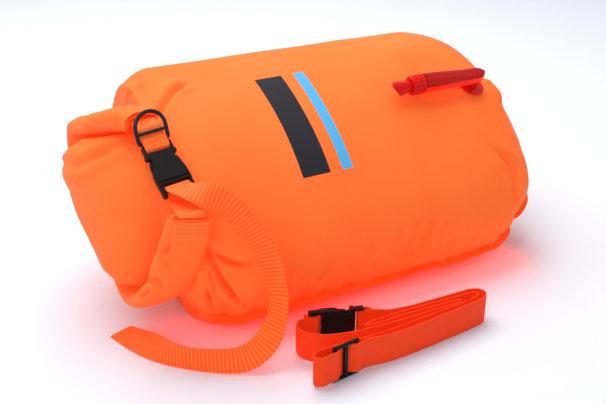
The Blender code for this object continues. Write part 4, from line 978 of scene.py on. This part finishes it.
def neck_fabric():
    """Gathered fabric behind the front skin: rings that draw in from the chambers to the roll.

    Each ring is a half ellipse above and a flatter one below, which drops away quickly and is pulled in by
    the gathers.
    """
    start = MOUTH_X + NECK_OVERLAP
    x = start + (NECK_X + NECK_END_GAP - start) * np.linspace(0, 1, 60)
    drop = np.clip((start - x) / DROP_WAY, 0, 1)
    shelf = np.clip((start - x) / SHELF_WAY, 0, 1)
    turn = np.linspace(0, 2 * math.pi, 260, endpoint=False)
    w = np.minimum(half_width(x) - NECK_SIDE_GAP, NECK_HALF_WIDTH)[:, None]
    front = (front_height(x) - NECK_SKIN_GAP)[:, None]
    low = np.maximum(NECK_LOW * np.sqrt(np.maximum(1 - drop**2, 0)), SHELF - SHELF_FALL * shelf)[:, None]
    c, s = np.cos(turn), np.sin(turn)
    u = w * c + neck_lean(x)
    v = np.where(s >= 0, front * s, low * s)
    v = v - np.maximum(v - arm_ceiling(x, u, NECK_ARM_GAP), 0)
    v = np.where(v > 0, np.minimum(v, front), v)
    gather = 0.5 + 0.5 * np.cos(turn * GATHERS + 1.3 * np.sin(turn * 5))
    pull = 1 - 0.045 * gather**2 * smooth(drop)[:, None] * (s < 0.05)
    grid = np.stack([bow_mouth(x[:, None], u), u * pull, v * pull], axis=-1)
    return rings_piece("neck_fabric", above_floor(to_room(grid)), None, cloth)


# the spiral of the wound cloth: its turns, the angle it starts at, and the power that flattens it
ROLL_TURNS = 2.4
ROLL_START = 1.1
ROLL_FLATNESS = 2 / 2.5

# along the roll: its two rims, its near arm, the pinches at its two bends by their way from the nearer rim,
# and the way over which the layers step back from a rim
FAR_RIM = 0.02
NEAR_RIM = 0.03
NEAR_ARM = 0.15
FAR_PINCH = 0.070
NEAR_PINCH = 0.078
RIM_FADE = 0.006


def spiral_section():
    """Section of the wound mouth, in shares of its half width and half thickness, over turns of the cloth.

    A flattened spiral: both radii shrink with the angle, the radius across the flat more slowly.
    """
    tau = np.concatenate([np.linspace(0, 0.46, 92)[:-1], np.linspace(0.46, 1, 42)])
    angle = ROLL_START + 2 * math.pi * ROLL_TURNS * tau
    c, s = np.cos(angle), np.sin(angle)
    round_a = np.sign(c) * np.abs(c) ** ROLL_FLATNESS
    round_b = np.sign(s) * np.abs(s) ** ROLL_FLATNESS
    return round_a, round_b, tau


def roll_rows(length):
    """Places along the roll: closest at its two rims, close in the near arm, where the creases are."""
    arm, rim = length - NEAR_ARM, length - NEAR_RIM
    return np.concatenate([
        np.linspace(0, FAR_RIM, 26)[:-1], np.linspace(FAR_RIM, arm, 100)[:-1],
        np.linspace(arm, rim, 120)[:-1], np.linspace(rim, length, 56),
    ])


def rolled_mouth():
    """The wound mouth along its bent route, with pinches at the bends, tucks in its cloth and layered rims.

    Each row is the spiral, scaled to the width and thickness there, laid out as an outer line and, one cloth
    thickness inside it, an inner line coming back.
    """
    fine = spline(ROLL_ROUTE, ROLL_POINTS)
    way = path_length(fine[:, :3])
    rows = roll_rows(way[-1])
    left = rows[-1] - rows
    line = np.stack([np.interp(rows, way, fine[:, n]) for n in range(5)], axis=1)
    path = line[:, :3]
    ahead, across, through = frames_along(path, np.tile(np.array([1.0, 0, 0]), (len(path), 1)))
    round_a, round_b, tau = spiral_section()
    wide, deep = (1 - 0.16 * tau) * round_a, (1 - 0.70 * tau**0.9) * round_b
    swell = 1 + 0.020 * np.sin(rows / 0.0135 + 0.5) * np.sin(rows / 0.021)
    pinch = 1 - 0.10 * bell(rows, FAR_PINCH, 0.009) - 0.12 * bell(left, NEAR_PINCH, 0.010)
    half_a = (line[:, 3] / 2 * swell)[:, None]
    half_b = (line[:, 4] / 2 * swell * pinch)[:, None]

    def laid_out(flat, tall):
        """Places at the distances across the flat and through it from the middle line."""
        return path[:, None] + across[:, None] * flat[..., None] + through[:, None] * tall[..., None]

    skin = laid_out(half_a * round_a, half_b * round_b)
    sink = crease_depths(skin, ROLL_CREASES) * (1 - 0.65 * tau)
    away = unit(skin - path[:, None])
    near_rim = np.exp(-(left / RIM_FADE))[:, None] * (0.0022 * tau - 0.0004 * np.sin(14 * tau))
    far_rim = np.exp(-(rows / RIM_FADE))[:, None] * (0.0016 * tau)
    sides = []
    for inset in (0.0, CLOTH_THICK):
        side = laid_out((half_a - inset) * wide, (half_b - inset) * deep) + away * sink[..., None]
        sides.append(side + ahead[:, None] * (near_rim - far_rim)[..., None])
    grid = np.concatenate([sides[0], sides[1][:, ::-1]], axis=1)
    uv_s = np.broadcast_to(rows[:, None], grid.shape[:2])
    uv_t = np.broadcast_to(np.concatenate([tau, tau[::-1]]), grid.shape[:2])
    return band_piece("rolled_mouth", above_floor(to_room(grid)), np.stack([uv_s, uv_t], axis=-1), roll_cloth)


# Webbing


def buckle_frame():
    """Place and directions of the closure buckle in the room, as a matrix: across it, along it and out."""
    across = Vector((-math.cos(BUCKLE_YAW), -math.sin(BUCKLE_YAW), 0))
    along = Vector((0, -math.cos(BUCKLE_TILT), -math.sin(BUCKLE_TILT)))
    along = (along - across * along.dot(across)).normalized()
    out = across.cross(along)
    local = Matrix((across, along, out)).transposed().to_4x4()
    local.translation = Vector(BUCKLE_PLACE)
    bag = Matrix.Translation((0, AXIS_Y, AXIS_Z)) @ Matrix.Rotation(ROLL, 4, "X")
    return np.array(bag @ local)


def ring_frame():
    """Place and directions of the ring: the buckle's, shifted and leaned back."""
    turn = Matrix.Translation(RING_PLACE) @ Matrix.Rotation(-RING_LEAN, 4, "X")
    return buckle_frame() @ np.array(turn)


def placed(place, table):
    """Points of a table, along and out of a matrix's frame in centimetres, in the room."""
    points = np.array([(0, along * CM, out * CM) for along, out in table])
    return points @ place[:3, :3].T + place[:3, 3]


def tape(name, path, edge, width, thick, ribs, swell, material):
    """Woven tape along a path: a flat section with soft selvedges whose thickness swells at each rib.

    The edge vectors lie across it. The ribs are a cosine of the way along it, and a pitch of 0 gives none.
    """
    s = path_length(path)
    ahead, across, through = frames_along(path, edge)
    cols = np.linspace(-1, 1, 15)
    cols = np.sign(cols) * np.abs(cols) ** 0.85
    rib = 0.5 + 0.5 * np.cos(2 * math.pi * s / ribs) if ribs else np.ones_like(s)
    half = thick / 2 * (1 - swell + swell * rib)[:, None] * (1 - 0.45 * np.abs(cols) ** 8)
    reach = cols * (width / 2) * (0.985 + 0.015 * rib)[:, None]
    middle = path[:, None] + across[:, None] * reach[..., None]
    raised = through[:, None] * half[..., None]
    grid = np.concatenate([middle + raised, (middle - raised)[:, ::-1]], axis=1)
    uv_s = np.broadcast_to(s[:, None], grid.shape[:2])
    uv_w = np.concatenate([reach, reach[:, ::-1]], axis=1)
    return rings_piece(name, above_floor(grid), np.stack([uv_s, uv_w], axis=-1), material)


# the strap's loose tail: places in the room, in decimetres, and the direction across it at each
TAIL = [
    ((-1.708, -0.430, 1.303), (0.99, 0.03, 0.16)), ((-1.628, -0.529, 1.290), (0.90, -0.17, 0.39)),
    ((-1.535, -0.610, 1.251), (0.73, -0.36, 0.58)), ((-1.46, -0.675, 1.18), (0.64, -0.42, 0.64)),
    ((-1.36, -0.745, 1.04), (0.59, -0.52, 0.62)), ((-1.285, -0.815, 0.88), (0.56, -0.69, 0.46)),
    ((-1.25, -0.88, 0.70), (0.46, -0.83, 0.31)), ((-1.25, -0.945, 0.52), (0.32, -0.93, 0.00)),
    ((-1.30, -0.98, 0.34), (0.15, -0.92, -0.36)), ((-1.42, -1.01, 0.20), (0.05, -0.70, -0.71)),
    ((-1.57, -0.99, 0.125), (0.00, -0.35, -0.94)), ((-1.79, -0.87, 0.106), (0.00, -0.08, -1.00)),
    ((-1.97, -0.71, 0.106), (-0.05, -0.02, -1.00)), ((-2.08, -0.50, 0.088), (-0.50, -0.25, -0.83)),
    ((-2.16, -0.26, 0.042), (-0.84, -0.38, -0.38)), ((-2.22, -0.05, 0.010), (-0.90, -0.43, -0.02)),
]

# the roll's middle line in steps, how many of them the webbing runs inside it, how far straight out of it,
# and half the distance between the two layers of the anchor webbing there
ROLL_STEPS = 60
ENDS_INSIDE = 3
STRAP_OUT = 0.0024
ANCHOR_OUT = 0.0012
ANCHOR_LIFT = 0.00115

# round the insert's bar, along and out of the buckle, in centimetres
STRAP_TURN = [
    (4.60, -0.300), (4.25, -0.215), (4.02, -0.200), (3.80, -0.195), (3.665, -0.135), (3.61, 0.000),
    (3.665, 0.135), (3.80, 0.195), (4.05, 0.351),
]


def closure_webbing():
    """From the near end of the roll round the insert's bar, then the loose tail to the floor: one spline."""
    buckle = buckle_frame()
    end, deep = ROLL_ROUTE[-1, :3], spline(ROLL_ROUTE, ROLL_STEPS)[-1 - ENDS_INSIDE, :3]
    out = unit(end - deep)
    across = buckle[:3, 0] * -1
    rows = [(to_room(p), (1, 0, 0)) for p in (deep, end, end + out * STRAP_OUT)]
    rows += [(p, across) for p in placed(buckle, STRAP_TURN)]
    rows += [(np.array(place) * DM, edge) for place, edge in TAIL]
    path = spline([np.concatenate(row) for row in rows], 900)
    path, edge = path[:, :3], path[:, 3:]
    return tape("closure_webbing", path, edge, STRAP_WIDTH, STRAP_THICK, STRAP_RIBS, STRAP_SWELL, strap_cloth)


# the anchor webbing in centimetres: over the ring's bars, round the socket's bar, and back under the ring
ANCHOR_OVER = [(-1.07, -0.400), (-0.76, -0.240), (-0.62, -0.200), (-0.13, 0.218), (0.00, 0.268)]
ANCHOR_TURN = [
    (0.04, 0.250), (0.28, 0.225), (0.44, 0.150), (0.495, 0.000), (0.44, -0.150), (0.28, -0.225),
    (0.00, -0.235),
]
ANCHOR_BACK = [(0.16, -0.280), (-0.56, -0.370), (-0.89, -0.560)]


def anchor_tape():
    """From the roll's far end under the crossbar, over the lower bar, round the socket's bar and back."""
    ring, buckle = ring_frame(), buckle_frame()
    fine = spline(ROLL_ROUTE, ROLL_STEPS)[:, :3]
    end, deep = fine[0], fine[ENDS_INSIDE]
    out = unit(end - deep)
    up = np.array([0, -out[2], out[1]])
    up = up * np.sign(up[2])
    past = end + out * ANCHOR_OUT
    flat, across = np.array([-1.0, 0, 0]), buckle[:3, 0]
    rows = [(to_room(p + up * ANCHOR_LIFT), flat) for p in (deep, end, past)]
    for table, place in ((ANCHOR_OVER, ring), (ANCHOR_TURN, buckle), (ANCHOR_BACK, ring)):
        rows += [(p, across) for p in placed(place, table)]
    rows += [(to_room(p - up * ANCHOR_LIFT), flat) for p in (past, end, deep)]
    path = spline([np.concatenate(row) for row in rows], 420)
    path, edge = path[:, :3], path[:, 3:]
    return tape("anchor_tape", path, edge, STRAP_WIDTH, ANCHOR_THICK, ANCHOR_RIBS, ANCHOR_SWELL, anchor_cloth)


# the belt's middle line in the room, in decimetres, from its buckle to its slider and back
BELT_ROUTE = [
    (-0.500, -1.140, 0.164), (-0.400, -1.165, 0.140), (-0.200, -1.185, 0.128), (0.050, -1.195, 0.128),
    (0.280, -1.200, 0.128), (0.400, -1.210, 0.128), (0.455, -1.245, 0.128), (0.465, -1.300, 0.128),
    (0.420, -1.350, 0.128), (0.300, -1.375, 0.128), (0.050, -1.405, 0.128), (-0.250, -1.435, 0.128),
    (-0.550, -1.455, 0.136), (-0.740, -1.450, 0.152),
]
BELT_RETURN = [
    (-1.150, -1.505, 0.152), (-1.190, -1.460, 0.150), (-1.150, -1.415, 0.146), (-1.060, -1.400, 0.142),
    (-0.900, -1.395, 0.134), (-0.550, -1.395, 0.128), (-0.200, -1.372, 0.128), (0.150, -1.345, 0.128),
    (0.330, -1.325, 0.128), (0.405, -1.290, 0.128), (0.385, -1.258, 0.128), (0.250, -1.245, 0.128),
    (0.000, -1.235, 0.128), (-0.300, -1.222, 0.128), (-0.560, -1.230, 0.128), (-0.640, -1.250, 0.128),
    (-0.560, -1.272, 0.128), (-0.300, -1.268, 0.128), (0.000, -1.278, 0.128), (0.180, -1.288, 0.128),
    (0.225, -1.306, 0.128), (0.180, -1.322, 0.128), (-0.050, -1.320, 0.128), (-0.400, -1.318, 0.128),
    (-0.800, -1.290, 0.134), (-1.020, -1.230, 0.146), (-1.120, -1.140, 0.158), (-1.120, -1.050, 0.164),
    (-1.060, -1.010, 0.168),
]
BELT_SHIFT = np.array([0, 0.007, 0])

# round the buckle's bars, along and out of it in centimetres, and through the slider in shares of its size
BELT_START = [
    (-0.90, 0.330), (-0.30, 0.250), (0.28, 0.225), (0.44, 0.150), (0.495, 0.000), (0.44, -0.150),
    (0.28, -0.225), (-0.30, -0.240),
]
BELT_FINISH = [
    (4.60, 0.260), (4.02, 0.205), (3.80, 0.200), (3.66, 0.140), (3.605, 0.000), (3.66, -0.140),
    (3.80, -0.200), (4.02, -0.205), (4.70, -0.240),
]
SLIDER_WEAVE = [
    (1.15, -1.02), (0.76, -1.02), (0.45, 0.0), (0.14, 1.02), (-0.14, 1.02), (-0.45, 0.0),
    (-0.76, -1.02), (-1.15, -1.02),
]
BELT_BUCKLE = np.array([-0.0570, -0.1040, 0.0168])
BELT_BUCKLE_YAW = math.radians(166)
SLIDER = np.array([-0.0930, -0.1390, 0.0156])
SLIDER_YAW = math.radians(7)
SLIDER_HALF = 0.0115
SLIDER_LIFT = 0.00235


def on_edge(place, yaw, table, length, depth):
    """Points of a table by a piece on its edge: shares of a length along it, and of a depth out of it."""
    along = np.array([math.cos(yaw), math.sin(yaw), 0])
    out = np.array([-math.sin(yaw), math.cos(yaw), 0])
    return [place + along * a * length + out * b * depth for a, b in table]


def waist_belt():
    """One length on edge: socket bar, outer fold, slider weave, inner folds, insert bar."""
    points = on_edge(BELT_BUCKLE, BELT_BUCKLE_YAW, BELT_START, CM, CM)
    points += [np.array(p) * DM + BELT_SHIFT for p in BELT_ROUTE]
    points += on_edge(SLIDER, SLIDER_YAW, SLIDER_WEAVE, SLIDER_HALF, SLIDER_LIFT)
    points += [np.array(p) * DM + BELT_SHIFT for p in BELT_RETURN]
    points += on_edge(BELT_BUCKLE, BELT_BUCKLE_YAW, BELT_FINISH, CM, CM)
    path = spline(points, 1500)
    edge = np.tile(np.array([0, 0, 1.0]), (len(path), 1))
    return tape("waist_belt", path, edge, BELT_WIDTH, BELT_THICK, 0, 0, belt_cloth)


# Dressing the pieces


def dress(piece, slot, *nodes):
    """Let the piece ride on the buoy in the place of the nodes. The slot is not used."""
    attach(piece, BODY)
    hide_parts(*nodes)


dress(front_panel(), "shell", "front_chamber")
dress(back_panel(), "shell", "back_chamber")
dress(seam_flange(), "liner", "dry_pouch")
dress(neck_fabric(), "shell", "neck")
dress(rolled_mouth(), "shell", "roll_top")
dress(closure_webbing(), "web", "closure_strap")
dress(anchor_tape(), "web", "anchor_webbing")
dress(waist_belt(), "belt", "belt_webbing")

FINISHES = {"belt_slider": acetal, "d_ring": ring_finish, "mouth_stiffener": strip}
for buckle in ("buckle", "belt"):
    for piece in ("socket", "insert", "arm_left", "arm_right"):
        FINISHES["%s_%s" % (buckle, piece)] = acetal
for side in ("front", "back"):
    for piece, finish in (
        ("flange", vinyl), ("stem", vinyl), ("hose", hose_vinyl), ("collar", mouth_vinyl),
        ("mouthpiece", mouth_vinyl), ("seal", rubber), ("spring", wire),
    ):
        FINISHES["valve_%s_%s" % (piece, side)] = finish
for name, finish in FINISHES.items():
    mesh = bpy.data.objects[name].data
    mesh.materials.clear()
    mesh.materials.append(finish)


# Floor, light and camera

FLOOR_HALF = 6

# lamps over the buoy: place, target, size and power
SOFTBOXES = (
    ("top_softbox", (-0.12, 0.55, 1.4), (0, 0.02, 0.05), (1.6, 1.2), 25.0),
    ("front_softbox", (-1.1, -1.2, 1.1), (0, 0, 0.05), (1.0, 1.0), 5.6),
)

# lamps under the bag's rim, for the light that comes through its cloth: place, size and power
GLOWS = (
    ("glow_side", (-0.015, -0.056, 0.011), (0.29, 0.012), 0.14),
    ("glow_mouth", (-0.175, -0.050, 0.011), (0.05, 0.014), 0.035),
)

# even light from all sides
WORLD_COLOUR = (0.90, 0.93, 1.0, 1)
WORLD_STRENGTH = 0.56

# the photograph's camera, in metres and radians, with its sensor and lens in millimetres
CAMERA_TARGET = np.array([-0.031, 0.046, 0.0505])
CAMERA_AZIMUTH = math.radians(-27.7)
CAMERA_TILT = math.radians(26.0)
CAMERA_DISTANCE = 0.817
SENSOR_WIDTH = 36.0
FOCAL_LENGTH = 53.47


def pale_floor():
    """One flat square of pale matt board."""
    corners = [(a * FLOOR_HALF, b * FLOOR_HALF, 0) for a, b in ((-1, -1), (1, -1), (1, 1), (-1, 1))]
    mesh = bpy.data.meshes.new("floor")
    mesh.from_pydata(corners, [], [(0, 1, 2, 3)])
    mesh.materials.append(new_material("pale_floor", (0.76, 0.785, 0.84), 0.80, Specular_IOR_Level=0.2)[0])
    thing = bpy.data.objects.new("floor", mesh)
    bpy.context.scene.collection.objects.link(thing)


def soft_light(name, place, target, size, power, colour=(1, 1, 1)):
    """Rectangular lamp at a place, facing its target."""
    lamp = bpy.data.lights.new(name, "AREA")
    lamp.shape = "RECTANGLE"
    lamp.size = size[0]
    lamp.size_y = size[1]
    lamp.energy = power
    lamp.color = colour
    thing = bpy.data.objects.new(name, lamp)
    thing.location = place
    thing.rotation_euler = (Vector(target) - Vector(place)).to_track_quat("-Z", "Y").to_euler()
    bpy.context.scene.collection.objects.link(thing)


def cloth_glow(name, place, size, power):
    """Light that the bag's thin lit cloth sends down to the floor beneath it."""
    soft_light(name, place, (place[0], place[1], 0), size, power, FLOOR_GLOW)
    bpy.data.objects[name].visible_camera = False


def plain_world():
    """Even pale light from all sides."""
    world = bpy.data.worlds.new("studio")
    bpy.context.scene.world = world
    world.use_nodes = True
    shader = world.node_tree.nodes["Background"]
    shader.inputs["Color"].default_value = WORLD_COLOUR
    shader.inputs["Strength"].default_value = WORLD_STRENGTH


def photo_camera():
    """Camera of the photograph: its distance back from the target, turned about it and tilted down."""
    level = math.cos(CAMERA_TILT)
    side, ahead = math.sin(-CAMERA_AZIMUTH) * level, math.cos(CAMERA_AZIMUTH) * level
    look = np.array([side, ahead, -math.sin(CAMERA_TILT)])
    data = bpy.data.cameras.new("photo_camera")
    data.sensor_width = SENSOR_WIDTH
    data.lens = FOCAL_LENGTH
    thing = bpy.data.objects.new("photo_camera", data)
    thing.location = Vector(CAMERA_TARGET - look * CAMERA_DISTANCE)
    thing.rotation_euler = Vector(look).to_track_quat("-Z", "Y").to_euler()
    bpy.context.scene.collection.objects.link(thing)
    bpy.context.scene.camera = thing


pale_floor()
plain_world()
for softbox in SOFTBOXES:
    soft_light(*softbox)
for glow in GLOWS:
    cloth_glow(*glow)
photo_camera()

scene = bpy.context.scene
scene.view_settings.view_transform = "Standard"
bpy.context.view_layer.update()
